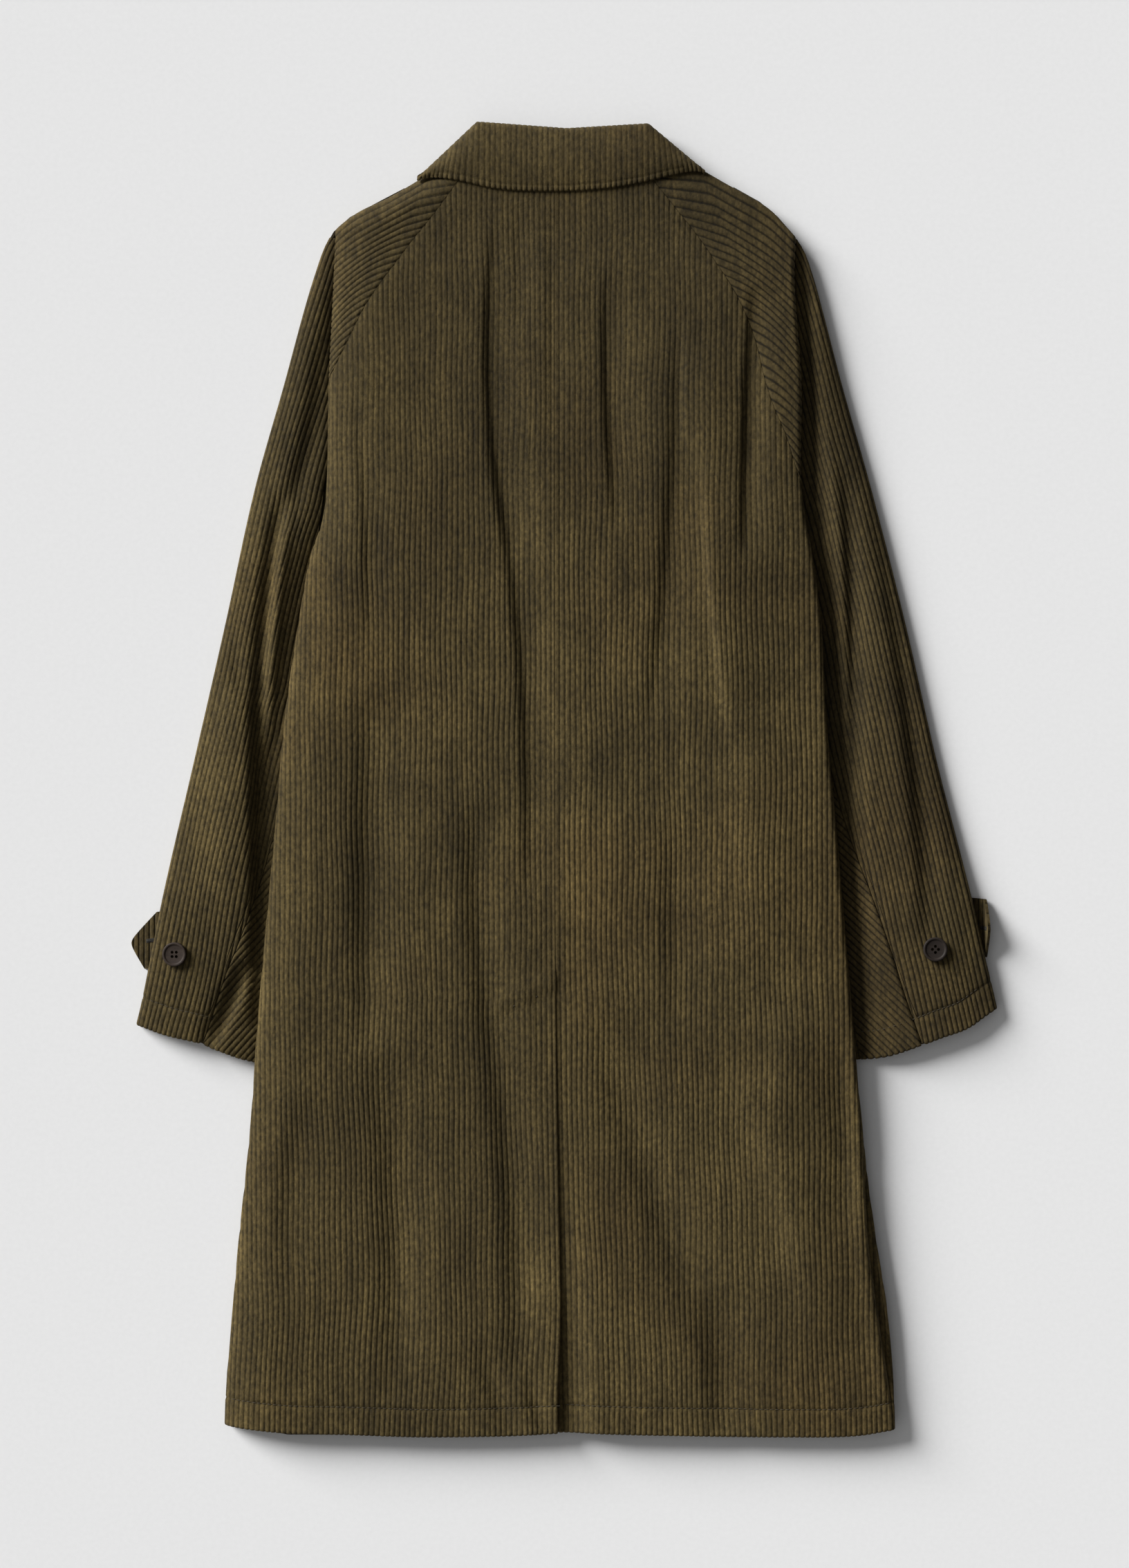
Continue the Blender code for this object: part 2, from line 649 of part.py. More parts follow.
SLEEVE_LEVELS = np.linspace(-246, 451, 110)
SLEEVE_STATIONS = (390, 325, 255, 185, 105, 25, -60, -102, -144, -185)
APEX_STEP = 1.0         # each wale starts this much lower at the top of the shoulder fold


def cuff_y(half, x):
    return along(CUFF[half.name], "y", half.sign * x, "x")


def hang_bound(half, y):
    """Inner limit of the sleeve's back half: the shoulder fold, then the underarm seam."""
    fold = along(BODY, half.name, y) + 0.9
    seam = along(UNDERARM[half.name], "x", y) + SEAM / 2
    return np.where(y > half.meet - 4, fold, fold + (seam - fold) * ease((half.meet - 4 - y) / 16))


def hang_stripes(half):
    """Wales of the hanging sleeve, side by side from its outer edge."""
    height = sleeve_height(half)

    def outer_x(y):
        return half.sign * float(along(SLEEVE, half.name, y))

    def inner_x(y):
        return half.sign * 170.0

    count = int(128 / WALE * LINES_PER_WALE)
    xs = wale_lines(height, outer_x, inner_x, SLEEVE_LEVELS, count)
    stripes = []
    for i in range(count):
        out = half.sign * xs[:, i]
        free = out - hang_bound(half, SLEEVE_LEVELS)
        cuff = np.array([cuff_y(half, x) for x in xs[:, i]])
        good = np.nonzero((free >= 0) & (SLEEVE_LEVELS >= cuff))[0]
        if len(good) < 6:
            break
        low, top = crossing(free, cuff, good)
        top = min(top, half.apex - APEX_STEP * (i + 1))
        stripes.append(Stripe(points_between(SLEEVE_LEVELS, xs[:, i], low, top, SLEEVE_STATIONS, 9),
                              i % LINES_PER_WALE))
    return stripes


def crossing(free, cuff, good):
    """Exact ends of a sleeve line between the levels where it starts and stops being free."""
    first, last = good[0], good[-1]
    gap = np.minimum(free, SLEEVE_LEVELS - cuff)
    low, top = SLEEVE_LEVELS[first], SLEEVE_LEVELS[last]
    if first > 0:
        t = gap[first] / (gap[first] - gap[first - 1])
        low -= t * (SLEEVE_LEVELS[first] - SLEEVE_LEVELS[first - 1])
    if last + 1 < len(gap):
        t = gap[last] / (gap[last] - gap[last + 1])
        top += t * (SLEEVE_LEVELS[last + 1] - SLEEVE_LEVELS[last])
    return low, top


def sleeve_back(half):
    """Back half of a raglan sleeve: shoulder, fold and hanging sleeve in one piece."""
    yoke, hang = yoke_stripes(half), hang_stripes(half)
    plan, raised, lines, numbers = gather(yoke + hang)
    yokes, hangs = numbers[:len(yoke)], numbers[len(yoke):]
    below = [k for k, run in enumerate(hangs) if plan[run[0]][1] < half.meet - 4.5]
    inner = below[0] if below else len(hangs) - 1
    loop = [run[0] for run in yokes[:0:-1]] + yokes[0] + hangs[0]
    loop += [run[-1] for run in hangs[1:-1]] + hangs[-1][::-1]
    loop += [run[0] for run in hangs[inner:-1]][::-1] + yokes[-1][:0:-1]
    split = len(np.concatenate([s.points for s in yoke]))
    surfaces = [(top_height, plan[:split]), (sleeve_height(half), plan[split:])]
    base = np.concatenate([np.column_stack([p, h(p[:, 0], p[:, 1])]) for h, p in surfaces])
    normal = np.concatenate([normals(h, p) for h, p in surfaces])
    crest_points, foot_points = [run[-1] for run in yokes], [run[0] for run in hangs[:inner + 1]]
    normal[foot_points] = (half.sign, 0, 1)
    keep = crest_points + foot_points + [v for run in yokes[::LINES_PER_WALE] for v in run[-3:]]
    keep += [v for run in yokes[::INSIDE_EVERY] + hangs[::LINES_PER_WALE] for v in run]
    for points in (crest_points, foot_points):
        lines += list(zip(points[:-1], points[1:]))
    return wall(f"sleeve_{half.name}_back", plan, base, normal, raised, loop, lines, keep, CLOTH)


def grid_normals(grid):
    rows = np.gradient(grid, axis=0)
    columns = np.gradient(grid, axis=1)
    n = np.cross(columns, rows)
    return n / np.linalg.norm(n, axis=2)[:, :, None]


def grid_wall(name, grid, thick):
    """A plain wall round the middle of a grid of points."""
    rows, columns = grid.shape[:2]
    normal = grid_normals(grid)
    sides = [(grid + s * normal * thick / 2).reshape(-1, 3) for s in (1, -1)]
    count = rows * columns
    faces, ring = [], []
    for r in range(rows - 1):
        for c in range(columns - 1):
            a = r * columns + c
            quad = (a, a + 1, a + columns + 1, a + columns)
            faces += [quad, tuple(count + v for v in reversed(quad))]
    ring += list(range(columns))
    ring += [r * columns + columns - 1 for r in range(1, rows)]
    ring += list(range(count - 2, count - columns - 1, -1))
    ring += [r * columns for r in range(rows - 2, 0, -1)]
    faces += [(b, a, count + a, count + b) for a, b in ring_edges(ring)]
    return mesh_object(name, np.concatenate(sides), faces)


ROLL_STEPS = (0.0, 0.25, 0.5, 0.75, 1.0)
TOP_STEPS = (0.0, 0.5, 1.0)
RUN_STEPS = (0.15, 0.34, 0.7)
OUTER_ANGLES = (0, 30, 60, 90)
SHOULDER_ROWS = (488, 478, 468, 457, 446, 430, 405, 370, 300)
HANGING_ROWS = (210, 129, 60, 0, -56)
STRAP_ROWS = (43, 28, 0, -28, -43)
CUFF_ENDS = {"left": (-203.5, -222.0, -238.0), "right": (-190.0, -220.0, -233.0)}


def front_raglan(half, y):
    """The front raglan seam, flat on the floor."""
    low = float(along(INNER, half.name, half.meet)) - 7
    return low + (74 - low) * np.clip((y - half.meet) / (470 - half.meet), 0, 1)


def seam_height(y, half):
    """Height of the seam along the top of the shoulder and the outer edge of the sleeve."""
    shoulder = along(BODY, "edge", y) - EDGE_FALL
    hanging = along(SLEEVE, "out", y) - SLEEVE_ROUND
    return hanging + (shoulder - hanging) * ease((y - half.apex) / 8)


def sleeve_front_section(half, y, roll, at_cuff=False):
    """One section of a sleeve's front, from the outer seam along the floor and round the inner edge."""
    outer_y, seam_y, inner_y = CUFF_ENDS[half.name] if at_cuff else (y, y, y)
    outer = float(along(SLEEVE, half.name, outer_y)) - PLAIN / 2
    inner = float(along(INNER, half.name, inner_y)) + INNER_ROUND
    top = float(seam_height(outer_y, half)) - 0.45
    first = outer - SLEEVE_ROUND
    if roll == 0:
        inner = min(inner, (first + float(front_raglan(half, y))) / 2)

    # Outer edge and the run along the floor: distance out, height, share of the room for what lies beneath
    points = []
    for angle in np.radians(OUTER_ANGLES):
        share = math.sin(angle)
        points.append((first + SLEEVE_ROUND * math.cos(angle), top + (FLOOR_LAYER - top) * share, share))
    points += [(first + (inner - first) * t, FLOOR_LAYER, 1) for t in RUN_STEPS]

    if roll == 0:
        flat = inner - (front_raglan(half, y) + SEAM / 2)
        steps = [f * 0.5 for f in ROLL_STEPS] + [0.6 + 0.4 * f for f in TOP_STEPS]
        points += [(inner - flat * f, FLOOR_LAYER, 1) for f in steps]
    else:
        points += rolled_edge(half, inner, seam_y, roll)

    section = []
    surface = sleeve_height(half)
    for i, (out, z, share) in enumerate(points):
        x = half.sign * out
        at = float(cuff_y(half, x)) if at_cuff else y
        z += share * float(collar_room(x, at) + strap_room(half, x, at))
        if roll == 1 and i >= len(points) - len(TOP_STEPS):
            z = float(surface(x, at)) - 0.6
        section.append((x, at, z))
    return section


def rolled_edge(half, inner, y, roll):
    """The inner edge of a sleeve, rolled up and out to the underarm seam; roll 1 is a half turn."""
    reach = max(float(along(UNDERARM[half.name], "x", y)) - 4 * SEAM - inner, 2.5)
    cover = min(max(float(along(BODY, half.name, y)) - inner, 1.0), reach / 2)
    points = []
    for turn in math.pi * roll * np.array(ROLL_STEPS):
        out, z = inner - INNER_ROUND * math.sin(turn), FLOOR_LAYER + INNER_ROUND * (1 - math.cos(turn))
        points.append((out, z, 0))
    for f in TOP_STEPS:
        run = cover + f * (reach - cover) if roll == 1 else 0.8 + 1.7 * f
        points.append((out - run * math.cos(turn), z + run * math.sin(turn), 0))
    return points


def sleeve_front(half):
    """Front half of a raglan sleeve, which wraps round the inner edge to the underarm seam."""
    above = [y for y in SHOULDER_ROWS if y > half.meet + 20] + [half.meet + 12]
    rolling = [(half.meet + 3, 0), (half.meet - 5, 1 / 3), (half.meet - 13, 2 / 3), (half.meet - 21, 1)]
    below = [y for y in HANGING_ROWS if y < half.meet - 30]
    below += [strap_centre(STRAPS[half.name]) + y for y in STRAP_ROWS]
    rows = [sleeve_front_section(half, y, 0) for y in above]
    rows += [sleeve_front_section(half, y, roll) for y, roll in rolling]
    rows += [sleeve_front_section(half, y, 1) for y in below]
    rows.append(sleeve_front_section(half, -215.0, 1, at_cuff=True))
    return grid_wall(f"sleeve_{half.name}_front", np.array(rows), PLAIN)


# Fronts

FRONT_STATIONS = (425, 400, 370, 330, 290, 250, 200, 150, 40, -70, -173, -215, -243, -290, -327, -390, -470)
FRONT_INNER_STATIONS = (425, 400, 370, 330, 250, 150, 0, -173, -360)
FRONT_LEVELS = np.linspace(-548, 503, 211)
MIDDLE_STEPS = (-FRONT_LAP, 0.0, FRONT_LAP + 2, FRONT_LAP + 24)
FRONT_FRACTIONS = (0.33, 0.67, 1.0)
SIDE_STEPS = (36.0, 22.0, 9.0, 4.0, 1.3, 0.0)
UNDER_ARM = 20.0        # a front's side stops short of the armhole within this width


def front_neck(x, half):
    return 446 + 24 * (np.clip(half.sign * x, -74, 74) / 74) ** 2


def front(half):
    """A front, face down: on the floor in the middle and over the sleeve at the side."""
    def inside(x, y):
        seam = float(front_raglan(half, y)) - SEAM if y > half.meet - 22 else 400.0
        return min(seam - half.sign * x, float(front_neck(x, half)) - y)

    def hem(x):
        return float(along(FRONT_HEM, "y", x, "x"))

    wide = along(BODY, half.name, FRONT_LEVELS) - 52 - MIDDLE_STEPS[-1]
    outs = [np.full_like(FRONT_LEVELS, step) for step in MIDDLE_STEPS]
    outs += [MIDDLE_STEPS[-1] + f * wide for f in FRONT_FRACTIONS]
    stripes = []
    for out in outs:
        xs = half.sign * out
        low, top = cut_line(FRONT_LEVELS, xs, inside, hem)
        stripes.append(Stripe(points_between(FRONT_LEVELS, xs, low, top, FRONT_INNER_STATIONS, 12), 0))
    for step in SIDE_STEPS:
        xs = half.sign * (along(BODY, half.name, FRONT_LEVELS) - PLAIN / 2 - step)
        low, top = cut_line(FRONT_LEVELS, xs, inside, hem)
        top = top if step > UNDER_ARM else half.meet - 28
        stripes.append(Stripe(points_between(FRONT_LEVELS, xs, low, top, FRONT_STATIONS, 12), 0))
    return panel(f"front_{half.name}", stripes, front_height(half), thick=PLAIN, above=PLAIN / 2)


# Collar

def collar_top_y(x):
    return np.interp(x, column(COLLAR_TOP, "x"), column(COLLAR_TOP, "y"))


def collar_fall():
    """The fall of the collar, with its wales upright and its roll along the top and the sides."""
    stripes = []
    for i in range(-60, 61):
        x = i * WALE / LINES_PER_WALE
        low, top = float(along(COLLAR_LOW, "y", x, "x")), float(collar_top_y(x))
        if not COLLAR_LOW[0].x < x < COLLAR_LOW[-1].x or top - low < 5:
            continue
        slant = 1.0 if abs(x) < 70 else 1.45
        ys = [top - d * slant for d in (0.0, 1.5, 5.0) if top - d * slant > low + 2]
        ys += [low + 0.45 * (top - low)] if top - low > 20 else []
        stripes.append(Stripe(np.array([(x, y) for y in ys + [low]]), i % LINES_PER_WALE))
    return panel("collar_fall", stripes, collar_height)


def collar_stand():
    """The stand, under the fall, from the neck seam up to the roll."""
    def height(x, y):
        low, high = neck_y(x) + SEAM, collar_top_y(x)
        v = np.clip((y - low) / (high - low), 0, 1)
        neck = top_height(x, np.full_like(x, 500.0)) - 0.4
        return neck + (COLLAR_ROLL - COLLAR_FALL - 0.6 - neck) * ease(v)

    stripes = []
    for x in np.linspace(-66, 63, 11):
        low, top = float(neck_y(x)) + 0.6, float(collar_top_y(x)) - 1.2
        ys = np.linspace(top, low, 6)
        stripes.append(Stripe(np.column_stack([np.full_like(ys, x), ys]), 0))
    return panel("collar_stand", stripes, height, thick=PLAIN, above=PLAIN / 2)


def collar_end(half):
    """One end of the collar, folded round the neck side and lying face down."""
    e = COLLAR_END
    roll, side = np.array([e.roll_x, e.roll_y]), np.array([e.side_x, e.side_y])
    point, edge = np.array([e.point_x, e.point_y]), np.array([e.edge_x, e.edge_y])
    along_side = (side - roll) / np.linalg.norm(side - roll)

    def height(x, y):
        away = np.stack([half.sign * x - roll[0], y - roll[1]], axis=-1)
        distance = np.abs(away[..., 0] * along_side[1] - away[..., 1] * along_side[0])
        down = np.clip(away @ along_side / np.linalg.norm(side - roll), 0, 1)
        return FLOOR_LAYER + edge_fall(distance, 5.0, 11.8 - 2.8 * down)

    stripes = []
    for f in (0.0, 0.016, 0.053, 0.3, 0.65, 1.0):
        a, b = roll + f * (edge - roll), side + f * (point - side)
        t = np.linspace(0, 1, 6)[:, None]
        stripes.append(Stripe((a + t * (b - a)) * np.array([half.sign, 1]), 0))
    return panel(f"collar_end_{half.name}", stripes, height, thick=PLAIN, above=PLAIN / 2)


# Straps and buttons

def cuff_strap(half):
    """A pointed strap sewn under the cuff; its free end sticks out past the outer edge."""
    strap = STRAPS[half.name]
    flat = strap.bend - strap.root
    rows = []
    for across in np.linspace(-1, 1, 7):
        length = strap.length - STRAP_POINT * abs(across) ** 1.3
        row = []
        for s in (*np.linspace(0, flat, 4), *np.linspace(flat, length, 6)[1:]):
            turn = np.clip((s - flat) / STRAP_BEND, 0, strap.turn)
            beyond = max(s - flat - STRAP_BEND * turn, 0)
            out = strap.root + min(s, flat) + STRAP_BEND * math.sin(turn) + beyond * math.cos(turn)
            y = strap.y + across * strap.wide / 2 + strap.slope * (out - strap.root)
            z = STRAP_THICK / 2 + STRAP_BEND * (1 - math.cos(turn)) + beyond * math.sin(turn)
            row.append((half.sign * out, y, z))
        rows.append(row)
    return grid_wall(f"cuff_strap_{half.name}", np.array(rows), STRAP_THICK)


def ring(radius, z, count, centre=(0.0, 0.0)):
    angles = 2 * np.pi * np.arange(count) / count
    return np.column_stack([centre[0] + radius * np.cos(angles), centre[1] + radius * np.sin(angles),
                            np.full(count, z)])


def button_profile():
    """Radius and height of each ring of a button, from under its edge over the rim to its middle."""
    radius, top = BUTTON_RADIUS, BUTTON_THICK
    return [
        (radius - BUTTON_EDGE, 0.0),
        (radius, BUTTON_EDGE),
        (radius, top - BUTTON_EDGE),
        (radius - BUTTON_EDGE * 0.7, top),
        (radius - BUTTON_RIM, top),
        (radius - BUTTON_RIM - BUTTON_DISH, top - BUTTON_DISH),
    ]


def button(half):
    """A four-hole button with a raised rim, on the back of the cuff."""
    profile, count = button_profile(), BUTTON_SEGMENTS
    rings = [ring(radius, z, count) for radius, z in profile]
    for turn in np.radians(BUTTONS[half.name].spin + 90 * np.arange(4)):
        centre = (HOLE_OFFSET * math.cos(turn), HOLE_OFFSET * math.sin(turn))
        rings += [ring(BUTTON_HOLE, z, HOLE_SEGMENTS, centre) for z in (profile[0][1], profile[-1][1])]
    starts = np.cumsum([0] + [len(r) for r in rings])
    numbers = [list(range(a, b)) for a, b in zip(starts[:-1], starts[1:])]
    bands, holes = numbers[:len(profile)], numbers[len(profile):]
    low_holes, high_holes = holes[0::2], holes[1::2]
    points = np.concatenate(rings)
    faces = []
    for a, b in list(zip(bands[:-1], bands[1:])) + list(zip(high_holes, low_holes)):
        faces += [(i, j, l, k) for (i, j), (k, l) in zip(ring_edges(a), ring_edges(b))]
    faces += bored_face(points, bands[0], low_holes) + bored_face(points, bands[-1], high_holes)
    return mesh_object(f"button_{half.name}", seat_button(half, points), faces)


def bored_face(points, rim, holes):
    """Triangles of a flat round face inside its rim, without its holes."""
    keep = rim + [v for hole in holes for v in hole]
    place = {v: i for i, v in enumerate(keep)}
    lines = [(place[a], place[b]) for hole in holes for a, b in ring_edges(hole)]
    faces = [tuple(keep[v] for v in face) for face in fill(points[keep, :2], [place[v] for v in rim], lines)]
    return [face for face in faces if not any(set(face) <= set(hole) for hole in holes)]


def seat_button(half, points):
    """Turn a button to the slope of its sleeve and set it just clear of the wales."""
    height = sleeve_height(half)
    place = BUTTONS[half.name]
    centre = np.array([[place.x, place.y]])
    normal = normals(height, centre)[0]
    origin = np.array([place.x, place.y, height(centre[:, 0], centre[:, 1])[0]])
    disc = ring(BUTTON_RADIUS, 0, 24, (place.x, place.y))
    disc[:, 2] = height(disc[:, 0], disc[:, 1])
    lift = max(0.0, float(np.max((disc - origin) @ normal))) + WALE_HEIGHT + SEAM
    across = np.cross([0, 1, 0], normal)
    across /= np.linalg.norm(across)
    up = np.cross(normal, across)
    return origin + normal * lift + points @ np.array([across, up, normal])


# Assembly

def clear_scene():
    for item in list(bpy.data.objects):
        bpy.data.objects.remove(item, do_unlink=True)


def build():
    clear_scene()
    cloth = [back_left(), back_right(), collar_fall(), collar_stand()]
    for half in HALVES:
        cloth += [sleeve_back(half), sleeve_front(half), front(half), collar_end(half), cuff_strap(half)]
        coloured(button(half), BROWN, 0.35)
    for piece in cloth:
        coloured(piece, OLIVE, 0.9)


build()
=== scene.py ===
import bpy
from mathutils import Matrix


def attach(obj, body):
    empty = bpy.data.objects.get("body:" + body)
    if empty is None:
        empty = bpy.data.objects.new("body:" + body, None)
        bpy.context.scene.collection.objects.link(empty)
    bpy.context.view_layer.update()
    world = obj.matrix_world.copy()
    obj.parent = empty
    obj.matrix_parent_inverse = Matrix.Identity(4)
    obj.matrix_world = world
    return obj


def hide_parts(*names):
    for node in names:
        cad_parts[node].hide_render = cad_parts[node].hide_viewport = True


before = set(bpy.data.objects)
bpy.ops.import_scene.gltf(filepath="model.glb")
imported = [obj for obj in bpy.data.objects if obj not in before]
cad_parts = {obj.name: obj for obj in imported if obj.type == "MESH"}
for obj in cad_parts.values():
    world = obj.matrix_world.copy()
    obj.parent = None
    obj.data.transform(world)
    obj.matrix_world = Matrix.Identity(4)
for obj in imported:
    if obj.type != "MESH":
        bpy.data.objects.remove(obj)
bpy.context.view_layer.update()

# The looks of a long corduroy coat laid on its front with the back up: cloth, sewing, buttons,
# light and camera. Sizes and tables are in millimetres, as in the part's source, and finished
# meshes are in metres in the frame of the solids.
import math
from collections import namedtuple

import bpy
import numpy as np
from mathutils import Vector
from mathutils.geometry import delaunay_2d_cdt

MM = 0.001
MIDDLE = (-0.253, -0.743, 0.0)   # middle of the coat's outline, which is the origin

# Cloth
WALE = 4.33            # width of one corduroy wale with its groove
LINES_PER_WALE = 6     # lines of points along each wale
STEP = WALE / LINES_PER_WALE
WALE_ROUND = 3.4       # how square the back of a wale is
RIB = 0.75             # a wale over its groove
RIB_BASE = -0.2        # the groove under the solid's groove
BACK_WEAR = 0.3        # how far the pile has filled the grooves at the top of the back
COLLAR_WEAR = 0.42     # the same on the collar
WALE_HEIGHT = 0.8      # a wale of the solids
PLAIN = 2.0            # cloth where it lies face down
SEAM = 0.3             # gap between two pieces at a seam
ROW = 8.0              # rows of points along the cloth
EDGE_TURN = 1.5        # radius of the turned edges at hem and cuffs
COLLAR_TURN = 1.3
VENT_TURN = 1.2
STITCH_UP = 23.0       # hem stitching over the turned edge
STITCH_SINK = 0.36     # how far it pulls the cloth in
SEAM_SINK = 0.45       # how far a seam lies under the cloth beside it
SEAM_WIDE = 2.0        # width of the dip to each side of it
UNDERARM_SINK = 0.2    # the same at the underarm seams
CENTRE_RISE = 0.2      # the seam at the middle stands a little proud
SHARP_ANGLE = math.radians(50)

# Edges and layers
EDGE_ROUND = 3.2       # how far a rounded edge reaches in from the outline
LIT_ROUND = 8.0        # the same on the left, where the cloth rolls wider
EDGE_FALL = 4.0        # how far it falls to the seam
SIDE_SLOPE = 85.0      # width over which the back rises from its sides to its crown
LEFT_SLOPE = 42.0      # the same on the left
LEFT_DROP = 5.0        # how much lower the left side lies
SLEEVE_IN = 5.5        # height of a sleeve where the body lies on it
SLEEVE_LEAST = 4.2     # lowest its back half lies on its front half
SLEEVE_ROUND = 3.5     # rounding of a sleeve's outer edge
INNER_ROUND = 2.0      # rounding of its inner edge, hidden under the body
SHOULDER_Y = 385.0     # over this the sleeves rise to the shoulder
SLEEVE_DROP = 0.7      # share of the left side's drop that its sleeve takes there
FLOOR_LAYER = PLAIN / 2
FRONT_LAP = 38.0       # how far each front reaches past the middle

# Collar
COLLAR_ROLL = 18.0     # height of the roll of the collar
COLLAR_PUFF = 3.0      # swell of the fall between its roll and its edge
COLLAR_OVER = 2.1      # collar over the back panels
COLLAR_FALL = 6.0      # how far its roll falls at the outline
COLLAR_ROUND = 5.0     # how far that rounding reaches in
COLLAR_UNDER = 2.8     # how far the fronts rise over the ends of the collar

# Vent
VENT_TOP = -173.0
VENT_DIP = 3.6         # the right panel under the left one
VENT_LAP = 45.0        # width of the underlap
VENT_SLANT = 0.36      # slope of its top edge
VENT_GAPE = 5.0        # how far its edge has drawn back at the hem
VENT_SAG = 3.0         # how much lower the underlap lies at the hem

# Straps and buttons
STRAP_THICK = 2.2
STRAP_BEND = 5.0       # radius of the bend in the strap that stands up
STRAP_BLUNT = 0.18     # how blunt its point is
BUTTON_RADIUS = 10.0
BUTTON_THICK = 3.6
BUTTON_EDGE = 0.9      # rounding of the outer edge
BUTTON_RIM = 1.7
BUTTON_DISH = 0.8      # depth of the middle under the rim
BUTTON_HOLE = 1.25
HOLE_OFFSET = 2.5      # from the button's middle to each hole
BUTTON_SEGMENTS = 64
HOLE_SEGMENTS = 18


def rows_of(kind, rows):
    return [kind(*row) for row in rows]


# Widths are measured out from the middle line x = 0, left and right.
Body = namedtuple("Body", "y left right edge crown")
BODY = rows_of(Body, [
    (503, 189.0, 191.0, 12.0, 17.5),
    (450, 189.0, 191.0, 13.5, 18.0),
    (415, 190.0, 189.5, 17.5, 20.0),
    (372, 192.0, 192.0, 19.0, 21.0),
    (330, 194.0, 195.0, 19.5, 22.0),
    (240, 196.0, 195.5, 19.5, 22.5),
    (212, 199.5, 199.0, 19.5, 22.5),
    (186, 208.5, 204.0, 19.5, 22.5),
    (129, 219.0, 211.5, 19.5, 22.5),
    (53, 230.0, 215.5, 19.5, 22.0),
    (-42, 238.5, 224.0, 19.0, 21.5),
    (-156, 249.0, 234.0, 18.5, 21.0),
    (-215, 254.0, 239.0, 18.0, 20.5),
    (-243, 255.8, 241.3, 17.5, 20.0),
    (-290, 259.3, 246.0, 16.5, 19.0),
    (-327, 263.0, 250.0, 16.0, 18.5),
    (-384, 269.0, 258.0, 15.8, 18.2),
    (-441, 274.0, 267.0, 15.5, 18.0),
    (-498, 279.0, 272.0, 15.0, 17.5),
    (-548, 281.0, 273.0, 14.5, 17.0),
])

# Outer outline of the sleeves, from the neck over the shoulder to the cuff, and their fullness.
Sleeve = namedtuple("Sleeve", "y left right full out")
SLEEVE = rows_of(Sleeve, [
    (503, 108.5, 114.5, 0.0, 12.5),
    (490, 129.5, 137.0, 0.0, 12.5),
    (480, 147.0, 155.5, 0.0, 12.5),
    (470, 168.5, 170.5, 0.0, 12.5),
    (460, 183.0, 180.0, 0.0, 12.5),
    (452, 191.0, 187.0, 0.0, 12.0),
    (442, 197.0, 195.0, 0.5, 11.0),
    (414, 207.0, 206.0, 2.0, 9.5),
    (385, 215.5, 214.0, 4.0, 8.5),
    (328, 231.0, 229.0, 5.5, 6.8),
    (243, 255.0, 253.0, 6.5, 6.5),
    (129, 280.0, 282.0, 7.0, 6.5),
    (15, 306.0, 308.0, 7.5, 6.5),
    (-71, 326.0, 330.0, 7.5, 8.0),
    (-104, 333.0, 338.0, 7.0, 10.5),
    (-144, 341.0, 347.0, 6.5, 10.5),
    (-190, 350.5, 358.0, 6.5, 8.8),
    (-204, 354.0, 361.0, 6.5, 8.4),
    (-245, 362.0, 369.0, 6.5, 8.0),
])

# The hidden inner edge of each sleeve, under the body.
Inner = namedtuple("Inner", "y left right")
INNER = rows_of(Inner, [
    (330, 180.0, 181.0),
    (240, 183.0, 181.0),
    (129, 205.0, 197.0),
    (-42, 223.0, 211.0),
    (-156, 232.0, 226.0),
    (-205, 235.5, 237.5),
    (-245, 238.0, 244.0),
])

Curve = namedtuple("Curve", "y x")
RAGLAN = {
    "left": rows_of(Curve, [
        (503, 79.0), (490, 89.5), (466, 107.0), (445, 124.0), (425, 139.0),
        (406, 153.0), (388, 165.0), (368, 175.0), (352, 183.0), (339, 189.5),
        (331, 193.9),
    ]),
    "right": rows_of(Curve, [
        (503, 66.0), (490, 76.0), (466, 95.0), (445, 111.5), (425, 125.0),
        (406, 137.5), (388, 147.0), (363, 157.0), (328, 165.5), (305, 173.0),
        (283, 182.5), (263, 188.7), (241, 195.4),
    ]),
}
UNDERARM = {
    "left": rows_of(Curve, [
        (330, 187.0), (129, 213.0), (0, 231.0), (-60, 244.0), (-108, 258.5),
        (-137, 269.0), (-161, 279.0), (-194, 290.0), (-225, 300.5),
    ]),
    "right": rows_of(Curve, [
        (240, 188.0), (129, 205.0), (0, 222.0), (-56, 239.0), (-94, 253.0),
        (-135, 267.5), (-181, 282.0), (-225, 297.5),
    ]),
}
CENTRE_BACK = rows_of(Curve, [(503, -8.4), (0, -8.0), (VENT_TOP, -7.4), (-548, -0.5)])

ROLL_LINE = rows_of(Curve, [
    (-285, 243.0), (-327, 246.0), (-384, 250.0), (-430, 256.0), (-470, 262.0),
    (-505, 267.0), (-548, 271.0),
])

Across = namedtuple("Across", "x y")
CUFF = {
    "left": rows_of(Across, [
        (362, -201), (354, -203.5), (330, -211.5), (299, -219.5), (276, -229), (256, -235), (230, -240),
    ]),
    "right": rows_of(Across, [
        (366, -185), (358, -190), (335, -205.5), (312, -214), (294, -221), (266, -230), (236, -233),
    ]),
}
HEM = rows_of(Across, [
    (-283, -534), (-260, -537), (-226, -540), (-180, -541), (-112, -543),
    (-43, -542), (2, -540), (71, -541.5), (185, -543), (242, -542),
    (275, -537),
])
FRONT_HEM = rows_of(Across, [
    (-283, -533), (-255, -538), (-225, -543.5), (-180, -543.5), (-140, -542),
    (-90, -545.5), (-55, -542), (0, -538), (275, -536),
])
NECK = rows_of(Across, [(-82, 503), (-40, 499), (0, 497.5), (40, 499), (82, 503)])
